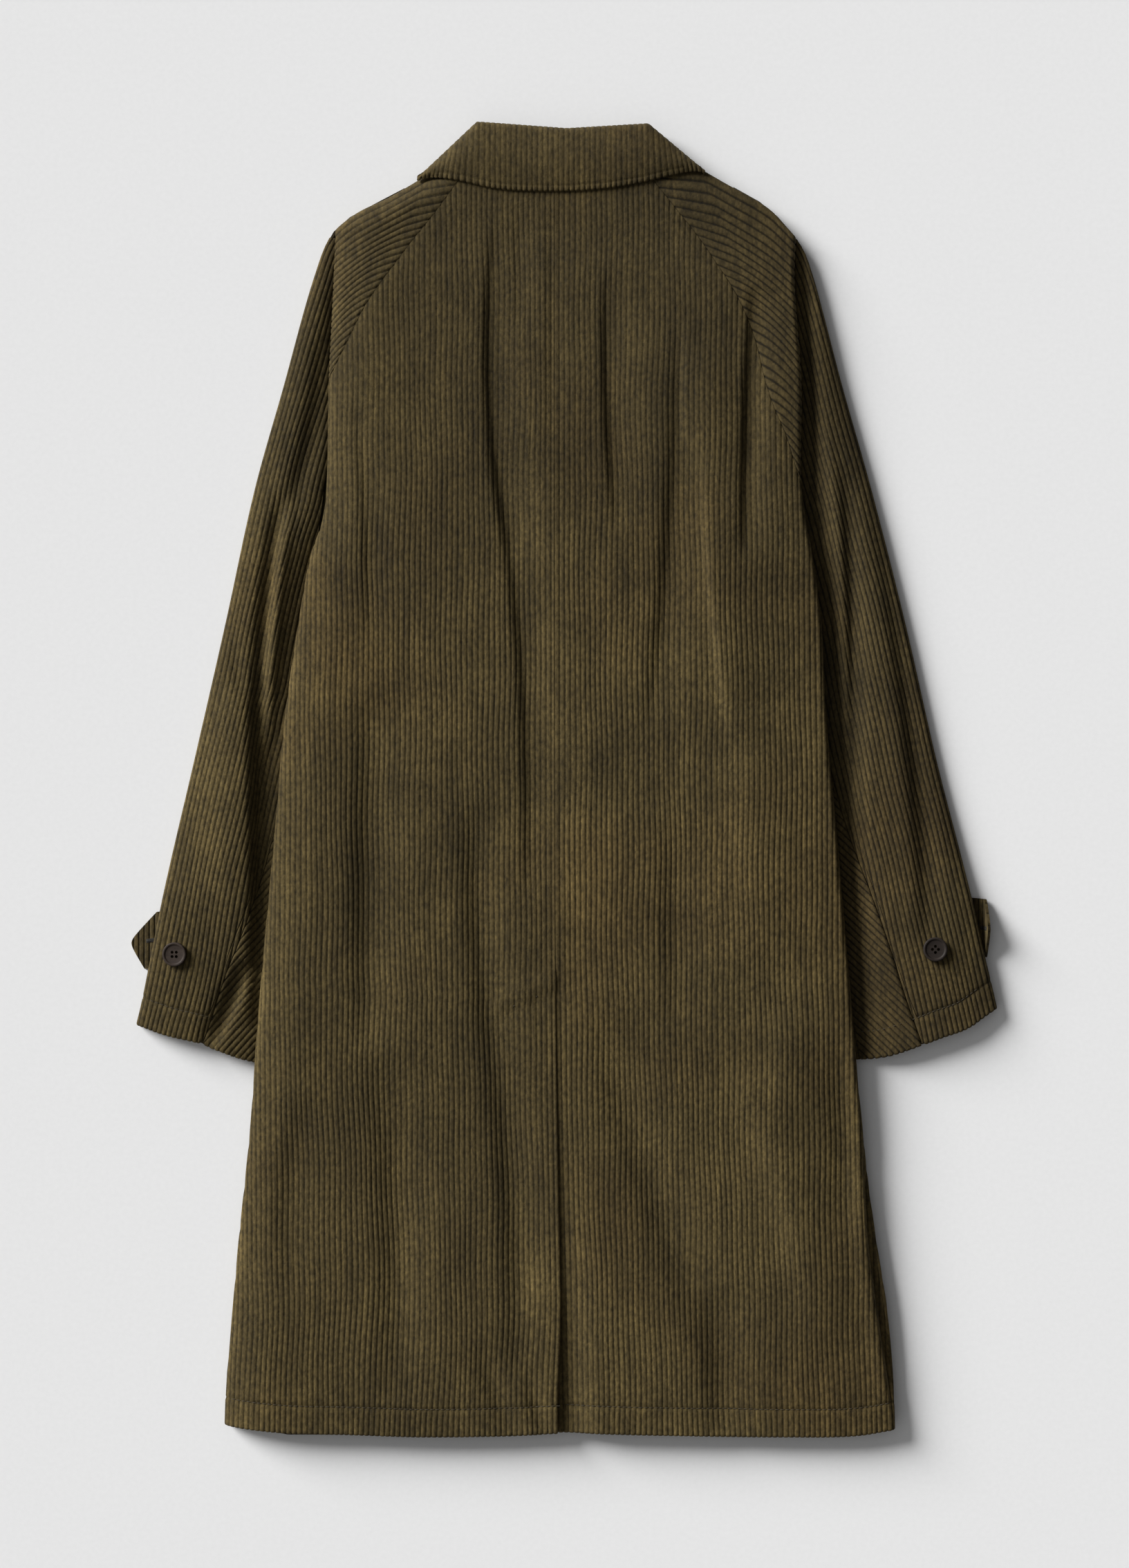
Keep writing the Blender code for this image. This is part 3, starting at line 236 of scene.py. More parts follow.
COLLAR_LOW = rows_of(Across, [
    (-124, 492.5), (-110, 495.5), (-91, 493.5), (-55, 486), (-5, 484),
    (36, 486.5), (63, 491), (90, 497.5), (108, 500.5), (119, 498.5),
])
COLLAR_TOP = rows_of(Across, [
    (-124, 493.5), (-72, 542), (2, 536.5), (69.5, 540.5), (119, 499.5),
])

# Folds run down the cloth: a negative depth is a trough, a positive one a ridge. Most are steep on
# their left and run out slowly to their right.
Fold = namedtuple("Fold", "y_top y_end x_top x_mid x_end depth left right")
BACK_FOLDS = rows_of(Fold, [
    (455, 180, -56, -60, -43, -4.0, 5, 24),
    (270, -100, -56, -32.5, -29, -3.6, 6, 24),
    (416, 205, 36, 36.5, 44.5, -3.4, 4.5, 20),
    (370, 40, 96, 89, 71, -3.6, 8, 22),
    (375, 270, 101, 101, 102, 1.8, 4, 16),
    (262, 28, 117, 124, 140, 3.5, 5, 28),
    (360, 240, 118, 120, 118, 1.8, 16, 30),
    (405, 185, 157, 151, 149, -5.2, 4.5, 15),
    (400, 230, 146, 142, 140, -1.4, 14, 10),
    (470, 270, -10, -10, -11, -1.0, 5, 12),
    (470, 365, -38, -37, -37, -1.0, 5, 12),
    (320, 110, -172, -162, -160, -2.0, 6, 16),
    (70, -225, -158, -161, -161, -4.4, 13, 24),
    (-20, -230, -72, -69, -54, -3.6, 11, 18),
    (-170, -500, -66, -42, -38, -4.0, 12, 20),
    (-225, -515, -150, -136, -139, -4.2, 17, 28),
    (-340, -500, -118, -116, -116, 2.0, 16, 26),
    (-265, -425, -214, -226, -224, -2.6, 12, 18),
    (-195, -470, 28, 72, 124, -3.8, 17, 26),
    (-420, -546, 124, 130, 133, -4.0, 15, 22),
    (-35, -205, 90, 92, 95, -2.8, 13, 26),
    (60, -150, 150, 158, 162, 2.4, 20, 28),
    (-240, -470, 150, 188, 214, 3.6, 15, 28),
    (-190, -290, 180, 182, 184, 1.6, 14, 20),
    (-215, -375, 226, 230, 232, -2.4, 13, 14),
    (-470, -546, -68, -56, -40, -2.0, 9, 10),
    (-485, -546, -29, -24, -15, -2.0, 7, 8),
])
SLEEVE_FOLDS = {
    "left": rows_of(Fold, [
        (365, 190, -201, -211, -240, -3.4, 8, 10),
        (235, 40, -234, -247, -252, -6.5, 7, 6),
        (85, -205, -254, -250, -252, -9.0, 5.5, 24),
        (240, 10, -224, -239, -246, 3.0, 5, 5),
        (195, 55, -212, -226, -236, -0.9, 5, 5),
        (110, 58, -277, -268, -258, -2.0, 6, 5),
        (75, -205, -266, -263, -265, 4.6, 26, 7),
        (-150, -224, -262, -276, -293, -7.0, 11, 6),
    ]),
    "right": rows_of(Fold, [
        (456, 190, 193, 201, 210, -6.0, 8, 8),
        (240, -236, 207, 229, 247, -6.5, 13, 12),
        (255, -15, 232, 238, 240, -4.4, 5, 9),
        (310, 20, 213, 229, 233, 1.8, 6, 5),
        (205, -155, 262, 289, 302, -3.8, 8, 14),
        (235, -125, 249, 274, 290, 1.6, 12, 8),
    ]),
}

# Slanting stitches that hold the top of the vent
ANCHOR_START = (-55.0, -193.0)
ANCHOR_END = (-8.5, -173.5)

# Straps at the cuffs: root and bend are distances out from the middle line, turn is in radians.
# The upper and lower corners are cut back, which makes the point; hole is the buttonhole's two ends.
Strap = namedtuple("Strap", "y root bend length wide slope turn upper lower hole")
STRAPS = {
    "left": Strap(-129.0, 300.0, 335.0, 58.5, 46.0, -0.12, 0.0, 25.0, 13.0, (32.0, 46.0)),
    "right": Strap(-119.0, 300.0, 344.0, 61.0, 48.0, -0.1, 1.4, 13.0, 12.0, (45.0, 56.0)),
}
Button = namedtuple("Button", "x y spin")
BUTTONS = {"left": Button(-321, -145, 45), "right": Button(306, -141, 0)}

# One end of the collar, folded under: roll, side, point and edge are its corners, measured out.
CollarEnd = namedtuple("CollarEnd", "roll_x roll_y side_x side_y point_x point_y edge_x edge_y")
COLLAR_END = CollarEnd(70, 538, 110, 502, 66, 428, 16, 452)

# The halves of the coat: top of the shoulder fold, and where raglan seam and side meet
Half = namedtuple("Half", "name sign apex meet yoke_wales")
LEFT = Half("left", -1, 451.0, 331.0, 23)
RIGHT = Half("right", 1, 448.0, 241.0, 29)
HALVES = (LEFT, RIGHT)


# Reading the tables

def column(table, name):
    return np.array([getattr(row, name) for row in table], dtype=float)


def along(table, name, at, key="y"):
    """Smooth reading of a table's column, with no overshoot between its rows."""
    keys, values = column(table, key), column(table, name)
    order = np.argsort(keys)
    keys, values = keys[order], values[order]
    spans = np.diff(keys)
    slopes = np.diff(values) / spans
    tangents = np.concatenate(([slopes[0]], (slopes[:-1] + slopes[1:]) / 2, [slopes[-1]]))
    tangents[1:-1][slopes[:-1] * slopes[1:] <= 0] = 0
    at = np.clip(np.asarray(at, dtype=float), keys[0], keys[-1])
    i = np.clip(np.searchsorted(keys, at) - 1, 0, len(spans) - 1)
    t = (at - keys[i]) / spans[i]
    rise = (3 - 2 * t) * t * t
    return (values[i] * (1 - rise) + values[i + 1] * rise
            + spans[i] * t * (1 - t) * (tangents[i] * (1 - t) - tangents[i + 1] * t))


def ease(t):
    """Smooth rise from 0 to 1 as t does."""
    t = np.clip(t, 0, 1)
    return t * t * (3 - 2 * t)


def bell(distance, width):
    return np.exp(-(distance / width) ** 2)


def unit(vectors):
    return vectors / np.linalg.norm(vectors, axis=-1, keepdims=True)


def run_along(points):
    """Distance of each point along a line of points."""
    return np.concatenate(([0], np.cumsum(np.linalg.norm(np.diff(points, axis=0), axis=1))))


def edge_fall(distance, reach, fall):
    """How far a rounded edge has fallen at a distance in from the outline."""
    t = np.clip(0.985 - distance / reach, 0, 0.995)
    return fall * (1 - np.sqrt(1 - t * t))


def fold_height(folds, x, y):
    total = np.zeros(np.broadcast(x, y).shape)
    for fold in folds:
        t = np.clip((fold.y_top - y) / (fold.y_top - fold.y_end), 0, 1)
        centre = ((1 - t) * (1 - 2 * t) * fold.x_top + 4 * t * (1 - t) * fold.x_mid
                  + t * (2 * t - 1) * fold.x_end)
        off = x - centre
        wide = np.where(off < 0, fold.left, fold.right)
        total = total + fold.depth * np.sin(np.pi * t) ** 0.6 * bell(off, wide)
    return total


# The coat's surfaces, as heights over the floor

def body_edge(half, y):
    """Side of the body, and above it the fold at the shoulder and the shoulder line."""
    return np.minimum(along(BODY, half.name, y), along(SLEEVE, half.name, y))


def side_roll(x, y):
    """The lower right side rolls under along a line, and a lower strip of cloth shows past it."""
    past = x - along(ROLL_LINE, "x", y)
    deep = ease((-285 - y) / 60) * ease((y + 535) / 60)
    return deep * (1.2 * bell(past + 5, 6) - 5.5 * ease((past + 1) / 2.4))


def pucker(x, y):
    """Cloth drawn in along the slanting stitches at the top of the vent, and swelling over them."""
    run = np.array(ANCHOR_END) - np.array(ANCHOR_START)
    length = np.linalg.norm(run)
    t = ((x - ANCHOR_START[0]) * run[0] + (y - ANCHOR_START[1]) * run[1]) / length ** 2
    off = ((y - ANCHOR_START[1]) * run[0] - (x - ANCHOR_START[0]) * run[1]) / length
    near = ease((t + 0.1) / 0.2) * ease((1.12 - t) / 0.1)
    return near * (1.9 * bell(off - 5, 4.5) - 1.8 * bell(off + 1, 3.0))


def top_height(x, y):
    """Back panels and the shoulders of the sleeves."""
    inside = np.minimum(body_edge(LEFT, y) + x, body_edge(RIGHT, y) - x)
    left = np.asarray(x) < 0
    low, high = along(BODY, "edge", y) - np.where(left, LEFT_DROP, 0.0), along(BODY, "crown", y)
    swell = 1 - (1 - np.clip(inside / np.where(left, LEFT_SLOPE, SIDE_SLOPE), 0, 1)) ** 2.2
    folds = fold_height(BACK_FOLDS, x, y) * np.clip(inside / 12, 0, 1)
    reach = np.where(left, LIT_ROUND, EDGE_ROUND)
    soft = 0.8 * ease((y - 395) / 35) * (1 - ease((y - 447) / 8)) * left
    made = low + (high - low) * swell + folds + pucker(x, y) + side_roll(x, y)
    return made - edge_fall(inside, reach, EDGE_FALL) * (1 - soft)


def vent_height(x, y):
    """The right back panel dips under the left one along the vent."""
    beside = x - along(CENTRE_BACK, "x", y)
    dip = 0.3 * ease((VENT_TOP + 24 - y) / 24) + 0.7 * ease((VENT_TOP - 40 - y) / 260)
    dip = VENT_DIP * dip + VENT_SAG * ease((-400 - y) / 120)
    return top_height(x, y) - dip * (1 - ease(beside / 32))


def back_height(half):
    return vent_height if half is RIGHT else top_height


def drop(half):
    """How much lower this side of the coat lies."""
    return LEFT_DROP if half is LEFT else 0.0


def sleeve_out(half, y):
    """Height of a sleeve's outer edge, lower at the top of the left one."""
    return along(SLEEVE, "out", y) - SLEEVE_DROP * drop(half) * ease((y - SHOULDER_Y) / 50)


def sleeve_height(half):
    """Height of the hanging part of one sleeve."""
    def height(x, y):
        outer = along(SLEEVE, half.name, y)
        inside = outer - half.sign * x
        rest = np.maximum(along(BODY, half.name, y), along(INNER, half.name, y))
        t = np.clip(inside / np.maximum(outer - rest, 1.0), 0, 1)
        swell = along(SLEEVE, "full", y) * np.sin(np.pi * t) ** 0.75
        folds = fold_height(SLEEVE_FOLDS[half.name], x, y) * ease(4 * t)
        low = SLEEVE_IN + (4.5 - SLEEVE_DROP * drop(half)) * ease((y - SHOULDER_Y) / 60)
        made = low * t + sleeve_out(half, y) * (1 - t) + swell + folds
        return np.maximum(made, SLEEVE_LEAST) - edge_fall(inside, SLEEVE_ROUND, SLEEVE_ROUND)
    return height


def collar_edge_distance(x, y):
    """Distance in from the roll and the sloping sides of the collar."""
    nearest = np.full(np.broadcast(x, y).shape, np.inf)
    for a, b in zip(COLLAR_TOP[:-1], COLLAR_TOP[1:]):
        run = np.array([b.x - a.x, b.y - a.y])
        t = np.clip(((x - a.x) * run[0] + (y - a.y) * run[1]) / (run @ run), 0, 1)
        nearest = np.minimum(nearest, np.hypot(x - a.x - t * run[0], y - a.y - t * run[1]))
    return nearest


def collar_low_y(x):
    return along(COLLAR_LOW, "y", x, "x")


def collar_top_y(x):
    return np.interp(x, column(COLLAR_TOP, "x"), column(COLLAR_TOP, "y"))


def collar_height(x, y):
    low, high = collar_low_y(x), collar_top_y(x)
    v = np.clip((y - low) / np.maximum(high - low, 1), 0, 1)
    rest = top_height(x, np.minimum(low, 500)) + COLLAR_OVER
    roll = COLLAR_ROLL - 3 * ease((np.abs(x) - 60) / 60)
    return ((1 - v) * rest + v * roll + COLLAR_PUFF * np.sin(np.pi * v)
            - edge_fall(collar_edge_distance(x, y), COLLAR_ROUND, COLLAR_FALL))


def collar_room(x, y):
    """The fronts rise over the ends of the collar that lie beneath them."""
    return COLLAR_UNDER * ease((y - 360) / 50) * (1 - ease((np.abs(x) - 110) / 14))


def strap_centre(strap):
    return strap.y + strap.slope * 25


def strap_room(half, x, y):
    """The front of a sleeve rises over its strap."""
    strap = STRAPS[half.name]
    across = 1 - ease((np.abs(y - strap_centre(strap)) - 28) / 14)
    return (STRAP_THICK + 0.5) * across * ease((half.sign * x - strap.root + 26) / 16)


def front_height(half):
    """A front: on the floor in the middle, over the sleeve at the side, up to the side seam."""
    def height(x, y):
        out = half.sign * x
        side = along(BODY, half.name, y) - 1.0
        edge = along(BODY, "edge", y) - drop(half)
        lift = edge - 2 * EDGE_FALL - FLOOR_LAYER
        ramp = ease((out - along(INNER, half.name, y) + 36) / 28) * ease((half.meet + 20 - y) / 50)
        rim = edge_fall(side - out, EDGE_ROUND, EDGE_FALL + 0.1) * ease((half.meet - 10 - y) / 20)
        lap = (PLAIN + 0.4 if half is RIGHT else 0.0) * (1 - ease((out - FRONT_LAP - 2) / 20))
        return FLOOR_LAYER + lift * ramp + rim + lap + collar_room(x, y)
    return height


# Lines of the wales

WALE_SAMPLES = 700      # points at which a level's length is taken


def wale_lines(height, start, end, levels, count):
    """Plan positions of lines at equal steps along the cloth, from start to end at each level."""
    steps = np.arange(count) * STEP
    rows = []
    for y in levels:
        x = np.linspace(start(y), end(y), WALE_SAMPLES)
        z = height(x, np.full_like(x, y))
        run = run_along(np.column_stack([x, z]))
        beyond = np.maximum(steps - run[-1], 0)
        rows.append(np.interp(steps, run, x) + np.sign(x[-1] - x[0]) * beyond)
    return np.array(rows)


def rib_of(lines):
    """Height of each line on the back of its wale, 0 in the groove and 1 on top."""
    phase = np.mod(lines, LINES_PER_WALE) / LINES_PER_WALE
    return 1 - np.abs(2 * phase - 1) ** WALE_ROUND


def worn(rib, wear):
    """Wales whose grooves have filled with brushed pile, by a share of their depth."""
    return 1 - (1 - rib) * (1 - wear)


def normals(height, plan):
    """Normals of a surface at points in plan, with its steepest slopes held back."""
    step = 0.02
    x, y = plan[:, 0], plan[:, 1]
    dx = (height(x + step, y) - height(x - step, y)) / (2 * step)
    dy = (height(x, y + step) - height(x, y - step)) / (2 * step)
    n = np.stack([-np.clip(dx, -6, 6), -np.clip(dy, -6, 6), np.ones_like(x)], axis=1)
    return unit(n)


# Sheets of cloth as grids of points, rows along the wales and columns across them

Grid = namedtuple("Grid", "points normal rib sink across down")
TURN_ANGLES = np.radians((25, 55, 90, 125, 155, 180))


def surface_grid(x, y, height, rib, across, sink=0.0):
    """A grid on one of the coat's surfaces."""
    plan = np.column_stack([x.ravel(), y.ravel()])
    points = np.column_stack([plan, height(plan[:, 0], plan[:, 1])]).reshape(*x.shape, 3)
    normal = normals(height, plan).reshape(*x.shape, 3)
    shape = x.shape
    return Grid(points, normal, np.broadcast_to(rib, shape), np.broadcast_to(sink, shape),
                np.broadcast_to(across, shape), y)


def turn_edge(grid, side, out, radius, tucks):
    """Turn one side of a grid under; out is the way the cloth runs on at that side."""
    axis = 0 if side.endswith("row") else 1
    first = side.startswith("first")
    end = [np.take(values, 0 if first else -1, axis=axis) for values in grid]
    points, normal, rib, sink, across, down = end
    out = np.broadcast_to(out, points.shape)
    radius = np.broadcast_to(radius, rib.shape)
    wide = radius[:, None]
    added = []
    for angle in TURN_ANGLES:
        way = normal * math.cos(angle) + out * math.sin(angle)
        added.append(Grid(points + wide * (way - normal), way, rib, sink, across, down - radius * angle))
    for tuck in tucks:
        tuck = np.broadcast_to(tuck, rib.shape)
        under = points - 2 * wide * normal - tuck[:, None] * out
        added.append(Grid(under, -normal, rib * 0.4, sink, across, down - radius * np.pi - tuck))
    added = added[::-1] if first else added
    extra = [np.stack(values, axis=axis) for values in zip(*added)]
    pairs = zip(extra, grid) if first else zip(grid, extra)
    return Grid(*[np.concatenate(pair, axis=axis) for pair in pairs])


def grid_mesh(grid, start):
    """Vertices, faces and values of a grid; points of a column that fall together are one vertex."""
    points = grid.points + grid.normal * (RIB_BASE + RIB * grid.rib - grid.sink)[..., None]
    new = np.ones(points.shape[:2], dtype=bool)
    new[1:] = np.any(np.abs(np.diff(points, axis=0)) > 1e-4, axis=2)
    flags = new.T.ravel()
    numbers = (np.cumsum(flags) - 1).reshape(new.T.shape).T + start
    rise = np.cross(np.diff(points, axis=1)[:-1], np.diff(points, axis=0)[:, :-1])
    upright = np.sum(rise * grid.normal[:-1, :-1]) > 0
    corners = [numbers[:-1, :-1], numbers[:-1, 1:], numbers[1:, 1:], numbers[1:, :-1]]
    corners = corners if upright else corners[::-1]
    faces = []
    for quad in zip(*[c.ravel().tolist() for c in corners]):
        face = [v for i, v in enumerate(quad) if v != quad[i - 1]]
        if len(face) > 2:
            faces.append(face)
    keep = [values.T.ravel()[flags] for values in (grid.rib, grid.across, grid.down)]
    return points.transpose(1, 0, 2).reshape(-1, 3)[flags], faces, keep


def link(name, data):
    """A new object in the scene."""
    made = bpy.data.objects.new(name, data)
    bpy.context.scene.collection.objects.link(made)
    return made


def new_object(name, vertices, faces, material, rib=None, uv=None):
    mesh = bpy.data.meshes.new(name)
    mesh.from_pydata([tuple(v) for v in (np.asarray(vertices) - MIDDLE) * MM], [], faces)
    if rib is not None:
        values = mesh.attributes.new("rib", "FLOAT", "POINT").data
        values.foreach_set("value", np.asarray(rib, dtype=np.float32))
    if uv is not None:
        corner = np.empty(len(mesh.loops), dtype=np.int32)
        mesh.loops.foreach_get("vertex_index", corner)
        layer = mesh.uv_layers.new(name="cloth")
        layer.data.foreach_set("uv", (np.asarray(uv)[corner] * MM).astype(np.float32).ravel())
    mesh.shade_smooth()
    mesh.materials.append(material)
    return link(name, mesh)


def cloth(name, grids, material):
    """One piece of ribbed cloth from its grids."""
    vertices, faces, ribs, uvs = [], [], [], []
    start = 0
    for grid in grids:
        points, quads, (rib, across, down) = grid_mesh(grid, start)
        vertices.append(points)
        faces += quads
        ribs.append(rib)
        uvs.append(np.column_stack([across, down]))
        start += len(points)
    vertices, ribs, uvs = (np.concatenate(values) for values in (vertices, ribs, uvs))
    return new_object(name, vertices, faces, material, ribs, uvs)


def grid_normals(grid):
    rows = np.gradient(grid, axis=0)
    columns = np.gradient(grid, axis=1)
    return unit(np.cross(columns, rows))


def ring_edges(loop):
    return [(loop[i], loop[(i + 1) % len(loop)]) for i in range(len(loop))]


def plain_cloth(name, grid, uv, thick, material):
    """A closed wall of plain cloth round the middle of a grid of points."""
    rows, columns = grid.shape[:2]
    normal = grid_normals(grid)
    sides = [(grid + s * normal * thick / 2).reshape(-1, 3) for s in (1, -1)]
    count = rows * columns
    faces = []
    for r in range(rows - 1):
        for c in range(columns - 1):
            a = r * columns + c
            quad = (a, a + 1, a + columns + 1, a + columns)
            faces += [quad, tuple(count + v for v in reversed(quad))]
    ring = list(range(columns)) + [r * columns + columns - 1 for r in range(1, rows)]
    ring += list(range(count - 2, count - columns - 1, -1)) + [r * columns for r in range(rows - 2, 0, -1)]
    faces += [(b, a, count + a, count + b) for a, b in ring_edges(ring)]
    flat = uv.reshape(-1, 2)
    piece = new_object(name, np.concatenate(sides), faces, material, uv=np.concatenate([flat, flat]))
    piece.data.set_sharp_from_angle(angle=SHARP_ANGLE)
    return piece


def section_uv(grid):
    """Cloth coordinates of a grid: distance across from its first column, and down its rows."""
    across = np.linalg.norm(np.diff(grid, axis=1, prepend=grid[:, :1]), axis=2).cumsum(axis=1)
    down = np.linalg.norm(np.diff(grid, axis=0, prepend=grid[:1]), axis=2).cumsum(axis=0)
    return np.stack([across, down], axis=2)


# Back panels

BACK_LEVELS = np.linspace(-548, 503, 141)
BACK_ROWS = np.arange(-548, 504, ROW)
BACK_WIDE = 312.0       # width of cloth over which a back panel's lines are laid out
EDGE_ROWS = np.array([EDGE_TURN, 3, 6, 10, 14, 18, 20.5, 22, STITCH_UP, 24, 25.5, 28, 33])
EDGE_TUCKS = (10, STITCH_UP)   # rows of points on the turned side of a hem or cuff


def neck_y(x):
    return along(NECK, "y", x, "x")


def hem_y(x):
    return along(HEM, "y", x, "x")


def raglan(half, y):
    return along(RAGLAN[half.name], "x", y)


def back_bound(half, y):
    """How far out a back panel reaches: the raglan seam, and under it the side."""
    return np.where(y > half.meet, raglan(half, y) - SEAM / 2, body_edge(half, y))


def wander(x, y):
    """Slight waver of the wales."""
    return (0.6 * np.sin(y / 37 + x / 23) + 0.4 * np.sin(y / 17 - x / 31 + 1.3)
            + 0.35 * np.sin(y / 71 + x / 9))


def first_crossing(levels, free, low):
    """Where a line first leaves its panel, going up from its low end."""
    start = np.searchsorted(levels, low)
    past = np.nonzero(free[start:] < 0)[0]
    if len(past) == 0:
        return levels[-1]
    i = start + past[0]
    if past[0] == 0:
        return low
    t = free[i - 1] / (free[i - 1] - free[i])
    return levels[i - 1] + t * (levels[i] - levels[i - 1])


def stitch_sink(above):
    """How far the cloth is drawn in at a height above its turned edge."""
    return STITCH_SINK * bell(above - STITCH_UP, 1.3)


def stitched_rib(lines, above):
    """Wales that are pressed to half their height where the stitching crosses them."""
    return rib_of(lines) * (1 - 0.5 * stitch_sink(above) / STITCH_SINK)


def turned_rows(rows, low, top):
    """Heights of a line's points, closer together at its turned edge and stitching."""
    y = np.concatenate([low + EDGE_ROWS, np.maximum(rows, low + EDGE_ROWS[-1])])
    return np.minimum(y, top)


def back_grid(half):
    """A back panel; on the right one the vent's underlap lies under the left."""
    height = back_height(half)

    def turn(y):
        """Radius of the edge at the middle: a seam, and the turned edge of the vent on the left."""
        if half is RIGHT:
            return SEAM / 2
        vent = 0.4 * ease((VENT_TOP + 6 - y) / 12) + 0.6 * ease((VENT_TOP - y) / 220)
        return SEAM / 2 + (VENT_TURN - SEAM / 2) * vent

    def seam_x(y):
        gape = VENT_GAPE * float(ease((-420 - y) / 120)) if half is LEFT else 0.0
        return float(along(CENTRE_BACK, "x", y)) - gape + half.sign * float(turn(y))

    def side_x(y):
        return half.sign * float(body_edge(half, y))

    count = int(BACK_WIDE / STEP)
    laps = int(VENT_LAP / STEP) if half is RIGHT else 0
    lines = np.arange(-laps, count)
    xs = wale_lines(height, seam_x, side_x, BACK_LEVELS, count)
    off = STEP * np.arange(laps, 0, -1)
    xs = np.hstack([along(CENTRE_BACK, "x", BACK_LEVELS)[:, None] + SEAM / 2 - off, xs])
    beside = back_bound(half, BACK_LEVELS)[:, None] - half.sign * xs
    free = np.minimum(beside, neck_y(xs) - BACK_LEVELS[:, None])
    columns = []
    for k, line in enumerate(lines):
        low = float(hem_y(np.interp(hem_y(xs[0, k]), BACK_LEVELS, xs[:, k])))
        top = first_crossing(BACK_LEVELS, free[:, k], low)
        if line < 0:
            top = VENT_TOP + VENT_SLANT * STEP * line
        if top - low < 3:
            break
        y = turned_rows(BACK_ROWS, low, top)
        columns.append((np.interp(y, BACK_LEVELS, xs[:, k]), y, np.full_like(y, low)))
    x, y, low = (np.stack(values, axis=1) for values in zip(*columns))
    lines = lines[:x.shape[1]]
    from_seam = np.abs(lines) * STEP
    inside = back_bound(half, y) - half.sign * x
    fade = ease(np.minimum(from_seam, np.maximum(inside, 0)) / 25)
    x = x + wander(x, y) * fade
    sink = stitch_sink(y - low)
    sink = sink - CENTRE_RISE * bell(from_seam, 1.7) * (y > VENT_TOP)
    sink = sink + SEAM_SINK * bell(0.75 * inside, SEAM_WIDE) * (y > half.meet)
    shift = LINES_PER_WALE // 2 if half is LEFT else 0
    rib = worn(stitched_rib(lines + shift, y - low), BACK_WEAR * (0.35 + 0.65 * ease((y - 120) / 240)))
    grid = surface_grid(x, y, height, rib, lines * STEP, sink)
    grid = turn_edge(grid, "first_row", (0, -1, 0), EDGE_TURN, EDGE_TUCKS)
    if half is LEFT:
        grid = turn_edge(grid, "first_column", (1, 0, 0), turn(grid.down[:, 0]), (3, 7))
    return grid


def back(half, material):
    return cloth(f"cloth_back_{half.name}", [back_grid(half)], material)


# Sleeves, back half

SLEEVE_LEVELS = np.linspace(-246, 451, 110)
SLEEVE_ROWS = np.arange(-246, 452, 7.0)
HANG_WIDE = 150.0       # width of cloth over which a hanging sleeve's lines are laid out
HANG_INNER = 160.0      # how far in they are followed
YOKE_NEAR = np.array([6.5, 4.6, 3.0, 1.8, 0.9, 0.3, 0.0])
YOKE_ROWS = 24
YOKE_SAMPLES = 80       # points along each line round the yoke
YOKE_SHARE = 0.985      # how far along the seam and the fold its wales reach
YOKE_BOW = 5.0          # how far they bow up between the two
YOKE_UNDER = ((1.0, 1.6), (4.0, 2.6), (14.0, 3.2))   # in and down, where the fold turns under
APEX_STEP = 0.35        # each line starts this much lower at the top of the shoulder fold


def polyline_at(points, fractions):
    points = np.asarray(points, dtype=float)
    run = run_along(points)
    at = np.asarray(fractions) * run[-1]
    return np.column_stack([np.interp(at, run, points[:, 0]), np.interp(at, run, points[:, 1])])


def yoke_grid(half):
    """Shoulder of a sleeve, its wales running from the raglan seam to the fold at the shoulder point."""
    ys = np.linspace(503, half.meet + 1, YOKE_SAMPLES)
    seam = np.column_stack([half.sign * (raglan(half, ys) + SEAM / 2), ys])
    ys = np.linspace(half.apex, half.meet - 3, YOKE_SAMPLES)
    fold = np.column_stack([half.sign * body_edge(half, ys), ys])
    ys = np.linspace(503, half.apex, YOKE_SAMPLES)
    shoulder = np.vstack([seam[:1], np.column_stack([half.sign * body_edge(half, ys), ys])])
    count = half.yoke_wales * LINES_PER_WALE
    columns = []
    for i in range(count + 1):
        q = YOKE_SHARE * i / count
        a, b = polyline_at(seam, [q])[0], polyline_at(fold, [q])[0]
        length = np.linalg.norm(b - a)
        near = np.maximum(1 - YOKE_NEAR / length, 0)
        t = np.concatenate([np.linspace(0, max(1 - 9 / length, 0), YOKE_ROWS), near])
        straight = a + t[:, None] * (b - a)
        bow = (1 - q) ** 6 * (polyline_at(shoulder, t) - (seam[0] + t[:, None] * (fold[0] - seam[0])))
        rise = YOKE_BOW * np.sin(np.pi * t) * np.sin(np.pi * q) * min(1, length / 60)
        plan = straight + bow + np.column_stack([0 * t, rise])
        columns.append(np.column_stack([plan, t * length]))
    grid = np.stack(columns, axis=1)
    sink = SEAM_SINK * bell(grid[..., 2], SEAM_WIDE)
    lines = np.arange(count + 1)
    made = surface_grid(grid[..., 0], grid[..., 1], top_height, rib_of(lines), lines * STEP, sink)
    edge, under = made.points[-1], []
    for inward, down in YOKE_UNDER:
        under.append(edge + np.array([-half.sign * inward, 0, -down]))
    below = np.broadcast_to(np.array([0, 0, -1.0]), edge.shape)
    values = (below, 0.3 * made.rib[-1], made.sink[-1], made.across[-1], made.down[-1])
    tail = Grid(np.stack(under), *[np.stack([value] * len(under)) for value in values])
    return Grid(*[np.concatenate(pair) for pair in zip(made, tail)])


def cuff_y(half, x):
    return along(CUFF[half.name], "y", half.sign * x, "x")


def hang_bound(half, y):
    """Inner limit of the hanging sleeve: under the shoulder fold, then the underarm seam."""
    fold = along(BODY, half.name, y) + 0.9 - 0.5 * drop(half) - 12 * ease((half.apex - 20 - y) / 40)
    seam = along(UNDERARM[half.name], "x", y) + SEAM / 2
    return np.where(y > half.meet - 4, fold, fold + (seam - fold) * ease((half.meet - 4 - y) / 16))


